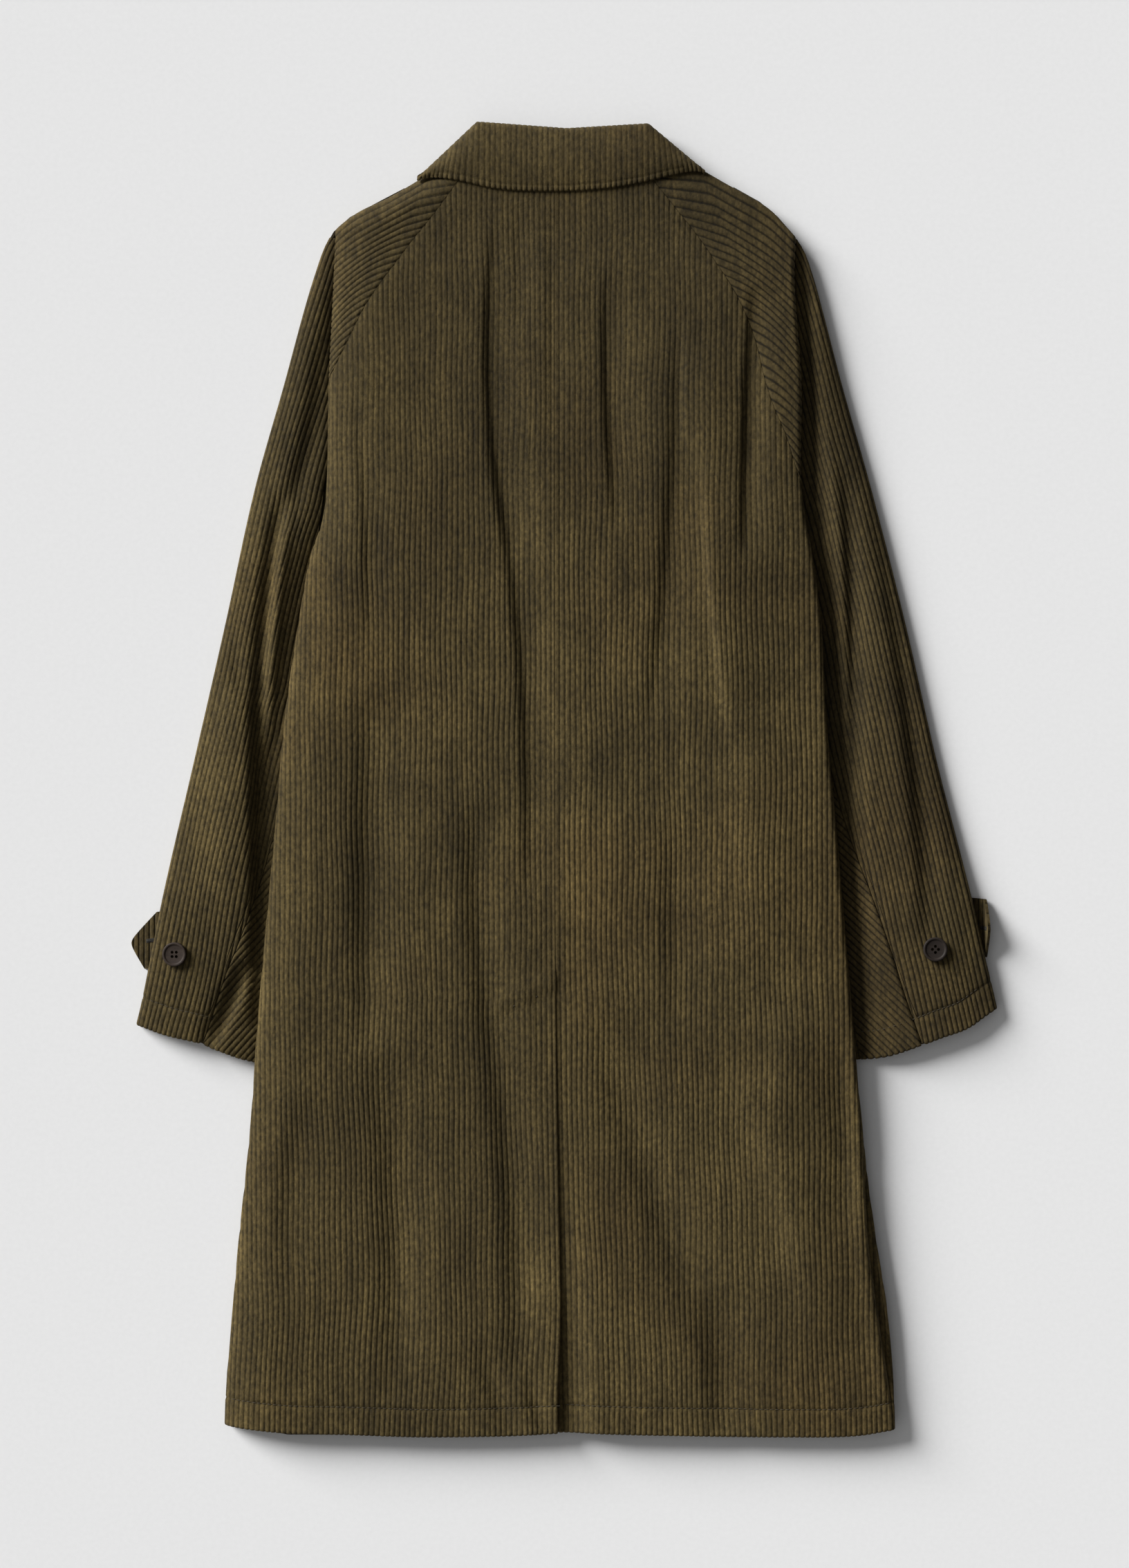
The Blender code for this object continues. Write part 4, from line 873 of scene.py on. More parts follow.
def hang_grid(half):
    """Hanging part of a sleeve, its wales side by side from the outer edge."""
    height = sleeve_height(half)

    def outer_x(y):
        return half.sign * float(along(SLEEVE, half.name, y))

    def inner_x(y):
        return half.sign * HANG_INNER

    count = int(HANG_WIDE / STEP)
    xs = wale_lines(height, outer_x, inner_x, SLEEVE_LEVELS, count)
    columns = []
    for k in range(count):
        free = half.sign * xs[:, k] - hang_bound(half, SLEEVE_LEVELS)
        cuff = cuff_y(half, xs[:, k])
        gap = np.minimum(free, SLEEVE_LEVELS - cuff)
        good = np.nonzero(gap >= 0)[0]
        if len(good) < 3:
            break
        low, top = line_ends(gap, good)
        top = min(top, half.apex - APEX_STEP * (k + 1))
        y = turned_rows(SLEEVE_ROWS, low, top)
        columns.append((np.interp(y, SLEEVE_LEVELS, xs[:, k]), y, np.full_like(y, low)))
    x, y, low = (np.stack(values, axis=1) for values in zip(*columns))
    lines = np.arange(x.shape[1])
    inside = half.sign * x - hang_bound(half, y)
    x = x + wander(x, y) * ease(np.minimum(lines * STEP, np.maximum(inside, 0)) / 20)
    seam = UNDERARM_SINK * bell(inside, SEAM_WIDE) * (y < half.meet - 20)
    rib = stitched_rib(lines, y - low)
    grid = surface_grid(x, y, height, rib, lines * STEP, stitch_sink(y - low) + seam)
    run = grid.points[0] - grid.points[3]
    run[:, 2] = 0
    return turn_edge(grid, "first_row", unit(run), EDGE_TURN, EDGE_TUCKS)


def line_ends(gap, good):
    """Exact ends of a sleeve line between the levels where it starts and stops being free."""
    first, last = good[0], good[-1]
    low, top = SLEEVE_LEVELS[first], SLEEVE_LEVELS[last]
    if first > 0:
        t = gap[first] / (gap[first] - gap[first - 1])
        low -= t * (SLEEVE_LEVELS[first] - SLEEVE_LEVELS[first - 1])
    if last + 1 < len(gap):
        t = gap[last] / (gap[last] - gap[last + 1])
        top += t * (SLEEVE_LEVELS[last + 1] - SLEEVE_LEVELS[last])
    return low, top


def sleeve_back(half, material):
    return cloth(f"cloth_sleeve_{half.name}_back", [yoke_grid(half), hang_grid(half)], material)


# Sleeves, front half

WRAP_LEAN = {"left": math.radians(42), "right": math.radians(47)}
WRAP_MIDDLE = (268.0, -140.0)
WRAP_ROWS = 15
WRAP_LINES = 190         # lines to each side of its middle that are tried
WRAP_REACH = np.linspace(-170, 170, 681)   # places along each of them
WRAP_TOP = -10.0         # top of the wrap, hidden under the body
WRAP_UNDER = 4.0         # how far the plain front reaches in under it


def wrap_grid(half):
    """Front half of a sleeve where it wraps round to the underarm seam, its wales on the slant."""
    lean = WRAP_LEAN[half.name]
    way = np.array([half.sign * math.sin(lean), -math.cos(lean)])
    beside = np.array([half.sign * math.cos(lean), math.sin(lean)])
    middle = np.array([half.sign * WRAP_MIDDLE[0], WRAP_MIDDLE[1]])
    columns, lines, outs = [], [], []
    for line in range(-WRAP_LINES, WRAP_LINES):
        start = middle + line * STEP * beside
        x, y = (start + WRAP_REACH[:, None] * way).T
        out = half.sign * x
        seam = along(UNDERARM[half.name], "x", y) - SEAM / 2 - out
        inner = out - along(INNER, half.name, y) - INNER_ROUND
        above = y - cuff_y(half, x) - EDGE_TURN
        good = np.nonzero(np.minimum(np.minimum(seam, inner), np.minimum(above, WRAP_TOP - y)) > 0)[0]
        if len(good) < 6:
            continue
        t = np.linspace(WRAP_REACH[good[0]], WRAP_REACH[good[-1]], WRAP_ROWS)
        columns.append(start + t[:, None] * way)
        lines.append(line)
        outs.append((0, -1.0 if above[good[-1]] < 1 else 0.0, 0))
    plan, lines = np.stack(columns, axis=1), np.array(lines)
    inside = along(UNDERARM[half.name], "x", plan[..., 1]) - half.sign * plan[..., 0]
    up = plan[..., 1] - cuff_y(half, plan[..., 0])
    sink = UNDERARM_SINK * bell(inside, SEAM_WIDE) + stitch_sink(up)
    grid = surface_grid(plan[..., 0], plan[..., 1], sleeve_height(half), rib_of(lines), lines * STEP, sink)
    return turn_edge(grid, "last_row", np.array(outs), EDGE_TURN, (6,))


ROLL_STEPS = np.linspace(0, 1, 9)
TOP_STEPS = np.linspace(0, 1, 4)
RUN_STEPS = np.linspace(0.1, 0.9, 8)
OUTER_ANGLES = range(0, 91, 10)
CUFF_ENDS = {"left": (-203.5, -222.0, -238.0), "right": (-190.0, -220.0, -233.0)}


def front_raglan(half, y):
    """The front raglan seam, flat on the floor."""
    low = float(along(INNER, half.name, half.meet)) - 7
    return low + (74 - low) * np.clip((y - half.meet) / (470 - half.meet), 0, 1)


def seam_height(y, half):
    """Height of the seam along the top of the shoulder and the outer edge of the sleeve."""
    shoulder = along(BODY, "edge", y) - drop(half) - EDGE_FALL
    hanging = sleeve_out(half, y) - SLEEVE_ROUND
    return hanging + (shoulder - hanging) * ease((y - half.apex) / 8)


def sleeve_front_section(half, y, roll, at_cuff=False):
    """One section of a sleeve's front, from the outer seam along the floor and round the inner edge."""
    outer_y, seam_y, inner_y = CUFF_ENDS[half.name] if at_cuff else (y, y, y)
    outer = float(along(SLEEVE, half.name, outer_y)) - PLAIN / 2
    inner = float(along(INNER, half.name, inner_y)) + INNER_ROUND
    top = float(seam_height(outer_y, half)) - 0.45
    first = outer - SLEEVE_ROUND
    if roll == 0:
        inner = min(inner, (first + float(front_raglan(half, y))) / 2)

    # Outer edge and the run along the floor: distance out, height, share of the room for what lies beneath
    points = []
    for angle in np.radians(OUTER_ANGLES):
        share = math.sin(angle)
        points.append((first + SLEEVE_ROUND * math.cos(angle), top + (FLOOR_LAYER - top) * share, share))
    points += [(first + (inner - first) * t, FLOOR_LAYER, 1) for t in RUN_STEPS]

    if roll == 0:
        flat = inner - (front_raglan(half, y) + SEAM / 2)
        steps = [f * 0.5 for f in ROLL_STEPS] + [0.6 + 0.4 * f for f in TOP_STEPS]
        points += [(inner - flat * f, FLOOR_LAYER, 1) for f in steps]
    else:
        points += rolled_edge(half, inner, seam_y, roll)

    section = []
    surface = sleeve_height(half)
    for i, (out, z, share) in enumerate(points):
        x = half.sign * out
        at = float(cuff_y(half, x)) if at_cuff else y
        z += share * float(collar_room(x, at) + strap_room(half, x, at))
        if roll == 1 and i >= len(points) - len(TOP_STEPS):
            z = float(surface(x, at)) - 2.2
        section.append((x, at, z))
    return section


def rolled_edge(half, inner, y, roll):
    """The inner edge of a sleeve, rolled up and out to the underarm seam; roll 1 is a half turn."""
    reach = max(float(along(UNDERARM[half.name], "x", y)) - 4 * SEAM - inner, 2.5)
    if y < WRAP_TOP - 4:
        reach = min(reach, WRAP_UNDER)
    cover = min(max(float(along(BODY, half.name, y)) - inner, 1.0), reach / 2)
    points = []
    for turn in math.pi * roll * np.array(ROLL_STEPS):
        out, z = inner - INNER_ROUND * math.sin(turn), FLOOR_LAYER + INNER_ROUND * (1 - math.cos(turn))
        points.append((out, z, 0))
    for f in TOP_STEPS:
        run = cover + f * (reach - cover) if roll == 1 else 0.8 + 1.7 * f
        points.append((out - run * math.cos(turn), z + run * math.sin(turn), 0))
    return points


def sleeve_front(half, ribbed, plain):
    """Front half of a raglan sleeve: on the floor, round the inner edge and up to the underarm seam."""
    above = list(np.arange(488, half.meet + 20, -12.0)) + [half.meet + 12]
    rolling = [(half.meet + 3 - 24 * r, r) for r in np.linspace(0, 1, 7)]
    below = list(np.arange(half.meet - 33, -200, -12.0))
    rows = [sleeve_front_section(half, y, 0) for y in above]
    rows += [sleeve_front_section(half, y, roll) for y, roll in rolling]
    rows += [sleeve_front_section(half, y, 1) for y in below]
    rows.append(sleeve_front_section(half, -215.0, 1, at_cuff=True))
    grid = np.array(rows)
    piece = plain_cloth(f"cloth_sleeve_{half.name}_front", grid, section_uv(grid), PLAIN, plain)
    wrap = cloth(f"cloth_sleeve_{half.name}_wrap", [wrap_grid(half)], ribbed)
    return piece, wrap


# Fronts

FRONT_LEVELS = np.linspace(-548, 503, 211)
FRONT_OUT = (-FRONT_LAP, -18.0, 0.0, 20.0, FRONT_LAP + 2, FRONT_LAP + 12, FRONT_LAP + 24)
FRONT_FRACTIONS = (0.2, 0.4, 0.6, 0.8, 1.0)
SIDE_STEPS = (36.0, 29.0, 22.0, 15.0, 9.0, 6.0, 4.0, 2.6, 1.3, 0.5, 0.0)
UNDER_ARM = 20.0        # a front's side stops short of the armhole within this width
FRONT_ROWS = 110


def front_neck(x, half):
    return 446 + 24 * (np.clip(half.sign * x, -74, 74) / 74) ** 2


def front(half, material):
    """A front, face down: on the floor in the middle and over the sleeve at the side."""
    wide = along(BODY, half.name, FRONT_LEVELS) - 52 - FRONT_OUT[-1]
    outs = [np.full_like(FRONT_LEVELS, out) for out in FRONT_OUT]
    outs += [FRONT_OUT[-1] + f * wide for f in FRONT_FRACTIONS]
    outs += [along(BODY, half.name, FRONT_LEVELS) - PLAIN / 2 - step for step in SIDE_STEPS]
    seam = np.where(FRONT_LEVELS > half.meet - 22, front_raglan(half, FRONT_LEVELS) - SEAM, 400.0)
    columns = []
    for i, out in enumerate(outs):
        x = half.sign * out
        low = float(along(FRONT_HEM, "y", np.interp(-540, FRONT_LEVELS, x), "x"))
        top = first_crossing(FRONT_LEVELS, np.minimum(seam - out, front_neck(x, half) - FRONT_LEVELS), low)
        step = SIDE_STEPS[i - len(outs)] if i >= len(outs) - len(SIDE_STEPS) else 99.0
        top = top if step > UNDER_ARM else half.meet - 28
        y = np.linspace(top, low, FRONT_ROWS)
        columns.append(np.column_stack([np.interp(y, FRONT_LEVELS, x), y]))
    plan = np.stack(columns, axis=1)
    grid = np.concatenate([plan, front_height(half)(plan[..., 0], plan[..., 1])[..., None]], axis=2)
    uv = section_uv(grid)
    return plain_cloth(f"cloth_front_{half.name}", grid, uv, PLAIN, material)


# Collar

COLLAR_LINES = 180       # lines to each side of the middle that are tried
COLLAR_LEAN = 0.22       # how far the wales lean out at the ends of the collar
COLLAR_NEAR = np.array([0.0, 0.5, 1.2, 2.2, 3.4, 5.0, 7.0, 10.0])
COLLAR_FOOT = np.array([0.0, 0.8, 1.6, 2.4, 3.2, 4.2, 6.0])
BEAD_WIDE = 4.5          # the wales stay sharp this far up from the collar's edge, as a row of beads
BEAD_SWELL_AND_HIGHLIGHT = 0.25        # how much they swell there; the raised rib value also paints their tops lighter, a painted highlight
BEAD_UP = 3.0            # the cloth is drawn in behind the beads
BEAD_SINK = 0.35
STAND_ENDS = (-66, 63)
END_ROWS = np.array([0.0, 0.006, 0.016, 0.03, 0.053, 0.1, 0.2, 0.3, 0.45, 0.65, 0.85, 1.0])


def collar_fall(material):
    """The fall of the collar, its wales upright, rolled over at the top and turned under at its edge."""
    columns, lines = [], []
    for line in range(-COLLAR_LINES, COLLAR_LINES):
        x = line * STEP
        if not COLLAR_LOW[0].x < x < COLLAR_LOW[-1].x:
            continue
        low, top = float(collar_low_y(x)) + COLLAR_TURN, float(collar_top_y(x))
        lean = math.copysign(COLLAR_LEAN * float(ease((abs(x) - 62) / 40)), x)
        for _ in range(3):
            low = float(collar_low_y(x + lean * (top - low))) + COLLAR_TURN
        if top - low < 1.5:
            continue
        slant = 1.0 if abs(x) < 70 else 1.4
        near = np.maximum(top - COLLAR_NEAR * slant, low)
        high = max(near[-1], low)
        foot = np.minimum(low + COLLAR_FOOT, high)
        y = np.concatenate([foot, np.linspace(foot[-1], high, 10)[1:], near[::-1][1:]])
        columns.append(np.column_stack([x + lean * (top - y), y]))
        lines.append(line)
    plan, lines = np.stack(columns, axis=1), np.array(lines)
    above = plan[..., 1] - plan[:1, :, 1]
    tall = above[-1]
    bead = 1 - ease(above / BEAD_WIDE)
    # Near the edge the wales swell, and their raised rib value paints them lighter: a painted highlight on
    # the beads.
    rib = worn(rib_of(lines), COLLAR_WEAR * (1 - bead)) * (1 + BEAD_SWELL_AND_HIGHLIGHT * bead)
    sink = BEAD_SINK * bell(above - BEAD_UP, 0.9)
    grid = surface_grid(plan[..., 0], plan[..., 1], collar_height, rib, lines * STEP, sink)
    grid = turn_edge(grid, "first_row", (0, -1, 0), COLLAR_TURN, (0.2 * tall, 0.4 * tall))
    return cloth("cloth_collar_fall", [grid], material)


def collar_stand(material):
    """The stand, under the fall, from the neck seam up to the roll."""
    x = np.linspace(*STAND_ENDS, 40)
    low, top = neck_y(x) + 0.6, collar_top_y(x) - 1.2
    v = np.linspace(1, 0, 14)[:, None]
    y = low + v * (top - low)
    neck = top_height(x, np.full_like(x, 500.0)) - 0.4
    z = neck + (COLLAR_ROLL - COLLAR_FALL - 0.6 - neck) * ease(v)
    grid = np.stack([np.broadcast_to(x, y.shape), y, z], axis=2)
    return plain_cloth("cloth_collar_stand", grid, grid[..., :2], PLAIN, material)


def collar_end(half, material):
    """One end of the collar, folded round the neck side and lying face down."""
    e = COLLAR_END
    roll, side = np.array([e.roll_x, e.roll_y]), np.array([e.side_x, e.side_y])
    point, edge = np.array([e.point_x, e.point_y]), np.array([e.edge_x, e.edge_y])
    along_side = (side - roll) / np.linalg.norm(side - roll)
    f = END_ROWS[:, None, None]
    t = np.linspace(0, 1, 16)[None, :, None]
    a, b = roll + f * (edge - roll), side + f * (point - side)
    plan = a + t * (b - a)
    away = plan - roll
    distance = np.abs(away[..., 0] * along_side[1] - away[..., 1] * along_side[0])
    down = np.clip(away @ along_side / np.linalg.norm(side - roll), 0, 1)
    z = FLOOR_LAYER + edge_fall(distance, COLLAR_ROUND, 11.8 - 2.8 * down)
    grid = np.concatenate([plan * np.array([half.sign, 1]), z[..., None]], axis=2)
    return plain_cloth(f"cloth_collar_end_{half.name}", grid, section_uv(grid), PLAIN, material)


# Straps

def strap_point(half, across, s):
    """A point of a strap: across from -1 to 1, and s along it from its sewn end."""
    strap = STRAPS[half.name]
    flat = strap.bend - strap.root
    turn = np.clip((s - flat) / STRAP_BEND, 0, strap.turn)
    beyond = np.maximum(s - flat - STRAP_BEND * turn, 0)
    out = strap.root + np.minimum(s, flat) + STRAP_BEND * np.sin(turn) + beyond * np.cos(turn)
    y = strap.y + across * strap.wide / 2 + strap.slope * (out - strap.root)
    z = STRAP_THICK / 2 + STRAP_BEND * (1 - np.cos(turn)) + beyond * np.sin(turn)
    return np.stack([half.sign * out, y, z], axis=-1)


def cuff_strap(half, material):
    """A pointed strap sewn under the cuff; its free end sticks out past the outer edge."""
    across = np.linspace(-1, 1, 25)[:, None]
    strap = STRAPS[half.name]
    cut = np.where(across > 0, strap.upper, strap.lower)
    length = strap.length - cut * (np.hypot(across, STRAP_BLUNT) - STRAP_BLUNT)
    s = np.linspace(0, 1, 40)[None, :] * length
    grid = strap_point(half, np.broadcast_to(across, s.shape), s)
    uv = np.stack([s, np.broadcast_to(across * strap.wide / 2, s.shape)], axis=2)
    return plain_cloth(f"cloth_cuff_strap_{half.name}", grid, uv, STRAP_THICK, material)


# Buttons

def fill(plan, loop, lines):
    """Triangles inside a loop of points in plan that keep the given lines."""
    flat = [Vector((float(p[0]), float(p[1]))) for p in plan]
    out = delaunay_2d_cdt(flat, lines, [loop], 0, 1e-5, True)
    given = [ids[0] for ids in out[3]]
    return [tuple(given[i] for i in face) for face, parts in zip(out[2], out[5]) if parts]


def ring(radius, z, count, centre=(0.0, 0.0)):
    angles = 2 * np.pi * np.arange(count) / count
    return np.column_stack([centre[0] + radius * np.cos(angles), centre[1] + radius * np.sin(angles),
                            np.full(count, z)])


def button_profile():
    """Radius and height of each ring of a button, from under its edge over the rim to its middle."""
    radius, top, edge = BUTTON_RADIUS, BUTTON_THICK, BUTTON_EDGE
    quarter = np.radians(np.arange(0, 91, 18))
    low = [(radius - edge + edge * math.sin(a), edge - edge * math.cos(a)) for a in quarter]
    high = [(radius - edge + edge * math.cos(a), top - edge + edge * math.sin(a)) for a in quarter]
    inner = radius - BUTTON_RIM
    dish = [(inner + 0.2 - t * (BUTTON_DISH + 0.5), top - BUTTON_DISH * float(ease(t)))
            for t in np.linspace(0.05, 1, 8)]
    return low + high + dish


def bored_face(points, rim, holes):
    """Triangles of a flat round face inside its rim, without its holes."""
    keep = rim + [v for hole in holes for v in hole]
    place = {v: i for i, v in enumerate(keep)}
    lines = [(place[a], place[b]) for hole in holes for a, b in ring_edges(hole)]
    faces = [tuple(keep[v] for v in face) for face in fill(points[keep, :2], [place[v] for v in rim], lines)]
    return [face for face in faces if not any(set(face) <= set(hole) for hole in holes)]


def button_seat(half):
    """Turns points of a button to the slope of its sleeve and sets them just clear of the wales."""
    height = sleeve_height(half)
    place = BUTTONS[half.name]
    centre = np.array([[place.x, place.y]])
    normal = normals(height, centre)[0]
    origin = np.array([place.x, place.y, height(centre[:, 0], centre[:, 1])[0]])
    disc = ring(BUTTON_RADIUS, 0, 24, (place.x, place.y))
    disc[:, 2] = height(disc[:, 0], disc[:, 1])
    lift = max(0.0, float(np.max((disc - origin) @ normal))) + WALE_HEIGHT + SEAM
    across = unit(np.cross([0, 1, 0], normal))
    up = np.cross(normal, across)
    return lambda points: origin + normal * lift + points @ np.array([across, up, normal])


def hole_centres(half):
    turns = np.radians(BUTTONS[half.name].spin + 90 * np.arange(4))
    return [(HOLE_OFFSET * math.cos(turn), HOLE_OFFSET * math.sin(turn)) for turn in turns]


def button(half, material):
    """A four-hole button with a raised rim, on the back of the cuff."""
    profile, count = button_profile(), BUTTON_SEGMENTS
    rings = [ring(radius, z, count) for radius, z in profile]
    for centre in hole_centres(half):
        rings += [ring(BUTTON_HOLE, z, HOLE_SEGMENTS, centre) for z in (profile[0][1], profile[-1][1])]
    starts = np.cumsum([0] + [len(r) for r in rings])
    numbers = [list(range(a, b)) for a, b in zip(starts[:-1], starts[1:])]
    bands, holes = numbers[:len(profile)], numbers[len(profile):]
    low_holes, high_holes = holes[0::2], holes[1::2]
    points = np.concatenate(rings)
    faces = []
    for a, b in list(zip(bands[:-1], bands[1:])) + list(zip(high_holes, low_holes)):
        faces += [(i, j, l, k) for (i, j), (k, l) in zip(ring_edges(a), ring_edges(b))]
    faces += [face[::-1] for face in bored_face(points, bands[0], low_holes)]
    faces += bored_face(points, bands[-1], high_holes)
    piece = new_object(f"button_{half.name}_detail", button_seat(half)(points), faces, material)
    piece.data.set_sharp_from_angle(angle=SHARP_ANGLE)
    return piece


# Sewing

TUBE_SIDES = 6
HOLE_EDGE = 1.1          # from the middle of a buttonhole to its sewn edges
Stitch = namedtuple("Stitch", "pitch length radius lift")
HEM_STITCH = Stitch(WALE, 3.2, 0.25, 0.15)
ANCHOR_STITCH = Stitch(3.4, 2.6, 0.28, 0.5)
HEM_LEVEL = -520         # where the ends of the hem's stitching are read
CUFF_OUT = 350           # about where a cuff's outer end is, and the inner end of its stitching
CUFF_IN = 246
STITCH_ARCH = np.array([-1.2, 0.4, 1.0, 1.0, 0.4, -1.2])


def tube(points, radius, start):
    """Vertices and faces of a round thread along a few points, closed at both ends."""
    points = np.asarray(points)
    way = unit(np.gradient(points, axis=0))
    side = np.cross(way, [0, 0, 1.0])
    side /= np.maximum(np.linalg.norm(side, axis=1), 1e-6)[:, None]
    up = np.cross(side, way)
    angles = 2 * np.pi * np.arange(TUBE_SIDES) / TUBE_SIDES
    rings = [points + radius * (math.cos(a) * side + math.sin(a) * up) for a in angles]
    vertices = np.stack(rings, axis=1).reshape(-1, 3)
    faces = []
    for r in range(len(points) - 1):
        for c in range(TUBE_SIDES):
            a, b = r * TUBE_SIDES + c, r * TUBE_SIDES + (c + 1) % TUBE_SIDES
            faces.append((start + a, start + b, start + b + TUBE_SIDES, start + a + TUBE_SIDES))
    last = (len(points) - 1) * TUBE_SIDES
    faces.append(tuple(start + i for i in reversed(range(TUBE_SIDES))))
    faces.append(tuple(start + last + i for i in range(TUBE_SIDES)))
    return vertices, faces


def stitch_row(path, height, stitch):
    """Short threads along a line in plan, each a low arch over the cloth."""
    path = np.asarray(path, dtype=float)
    run = run_along(path)
    threads = []
    for start in np.arange(0, run[-1] - stitch.length, stitch.pitch):
        at = start + stitch.length * np.linspace(0, 1, len(STITCH_ARCH))
        x, y = np.interp(at, run, path[:, 0]), np.interp(at, run, path[:, 1])
        z = height(x, y) + stitch.lift * STITCH_ARCH
        threads.append((np.column_stack([x, y, z]), stitch.radius))
    return threads


def sewing(name, threads, material):
    vertices, faces, start = [], [], 0
    for points, radius in threads:
        more, quads = tube(points, radius, start)
        vertices.append(more)
        faces += quads
        start += len(more)
    return new_object(name, np.concatenate(vertices), faces, material)


def buttonhole(half):
    """A slit along a strap: two sewn edges, and between them a dark core that is painted shade in the open
    slit.
    """
    strap = STRAPS[half.name]
    s = np.linspace(*strap.hole, 14)
    turn = np.clip((s - strap.bend + strap.root) / STRAP_BEND, 0, strap.turn)
    face = np.stack([-half.sign * np.sin(turn), 0 * turn, np.cos(turn)], axis=1)
    threads = []
    # The middle thread is the slit's painted shade; the threads beside it are the sewn edges.
    for off, radius in ((-HOLE_EDGE, 0.55), (0.0, 0.8), (HOLE_EDGE, 0.55)):
        across = np.full_like(s, off * 2 / strap.wide)
        threads.append((strap_point(half, across, s) + face * (STRAP_THICK / 2 - 0.1), radius))
    return threads


def hem_path(half):
    """The hem's line of stitching, from the middle to the side."""
    first = float(along(CENTRE_BACK, "x", HEM_LEVEL)) + half.sign * 2
    last = half.sign * (float(along(BODY, half.name, HEM_LEVEL)) - 3)
    x = np.linspace(first, last, 200)
    return np.column_stack([x, hem_y(x) + STITCH_UP])


def cuff_path(half):
    """A cuff's line of stitching, from the outer edge in, at an even distance from its edge."""
    outer = float(along(SLEEVE, half.name, cuff_y(half, half.sign * CUFF_OUT)))
    x = half.sign * np.linspace(outer - 5, CUFF_IN, 120)
    slope = np.gradient(cuff_y(half, x), x)
    away = STITCH_UP / np.sqrt(1 + slope ** 2)
    return np.column_stack([x - slope * away, cuff_y(half, x) + away])


# Materials

def new_material(name):
    material = bpy.data.materials.new(name)
    material.use_nodes = True
    tree = material.node_tree
    return material, tree, tree.nodes["Principled BSDF"]


def connect(tree, target, inputs):
    """Set the inputs of a node, and link those that come from another node."""
    for key, value in inputs.items():
        if hasattr(value, "is_output"):
            tree.links.new(value, target.inputs[key])
        else:
            target.inputs[key].default_value = value


def node(tree, kind, inputs=None, **settings):
    made = tree.nodes.new(kind)
    for key, value in settings.items():
        setattr(made, key, value)
    connect(tree, made, inputs or {})
    return made


def math_node(tree, operation, a, b=0.0):
    return node(tree, "ShaderNodeMath", {0: a, 1: b}, operation=operation).outputs[0]


def noise(tree, vector, scale, detail=2.0, roughness=0.5):
    values = {"Vector": vector, "Scale": scale, "Detail": detail, "Roughness": roughness}
    return node(tree, "ShaderNodeTexNoise", values).outputs["Fac"]


def spread(tree, value, low, high, to_low, to_high):
    values = {"Value": value, 1: low, 2: high, 3: to_low, 4: to_high}
    return node(tree, "ShaderNodeMapRange", values).outputs[0]


def vary(tree, value, low, high):
    """The usual range of a noise brought to a given one."""
    return spread(tree, value, 0.3, 0.7, low, high)


def bump(tree, height, distance, **more):
    inputs = {"Distance": distance, "Height": height, **more}
    return node(tree, "ShaderNodeBump", inputs).outputs[0]


def stretch(tree, vector, across, down):
    """Coordinates for noise that is drawn out one way."""
    return node(tree, "ShaderNodeMapping", {"Vector": vector, "Scale": (across, down, down)}).outputs[0]


def mix(tree, kind, factor, a, b):
    inputs = {0: factor, 6: a, 7: b}
    return node(tree, "ShaderNodeMix", inputs, data_type="RGBA", blend_type=kind).outputs[2]


def ramp(tree, value, stops):
    made = node(tree, "ShaderNodeValToRGB", {"Fac": value})
    elements = made.color_ramp.elements
    while len(elements) < len(stops):
        elements.new(0.5)
    for element, (at, colour) in zip(elements, stops):
        element.position = at
        element.color = (*colour, 1)
    return made.outputs["Color"]


GROOVE = (0.0168, 0.0117, 0.0037)
FLANK = (0.0312, 0.0222, 0.0068)
RIDGE = (0.0590, 0.0420, 0.0143)
CREST = (0.0750, 0.0538, 0.0198)
BROWN_TINT = (1.0, 0.78, 0.6, 1)
HORN = ((0.3, (0.021, 0.0137, 0.0098)), (0.55, (0.028, 0.0187, 0.0135)), (0.8, (0.038, 0.026, 0.0185)))
BRUSH_MIDDLE = 0.75      # place on a wale's flank whose tone brushing leaves as it is
SHOULDER = (0.1, 0.34)   # metres up the coat, from where to where it turns darker


def drawn_rib(tree, across):
    """Wales drawn on plain cloth from its coordinate across, 0 in the groove and 1 on top."""
    phase = math_node(tree, "FRACT", math_node(tree, "DIVIDE", across, WALE * MM))
    doubled = math_node(tree, "SUBTRACT", math_node(tree, "MULTIPLY", phase, 2.0), 1.0)
    off = math_node(tree, "ABSOLUTE", doubled)
    return math_node(tree, "SUBTRACT", 1.0, math_node(tree, "POWER", off, WALE_ROUND))


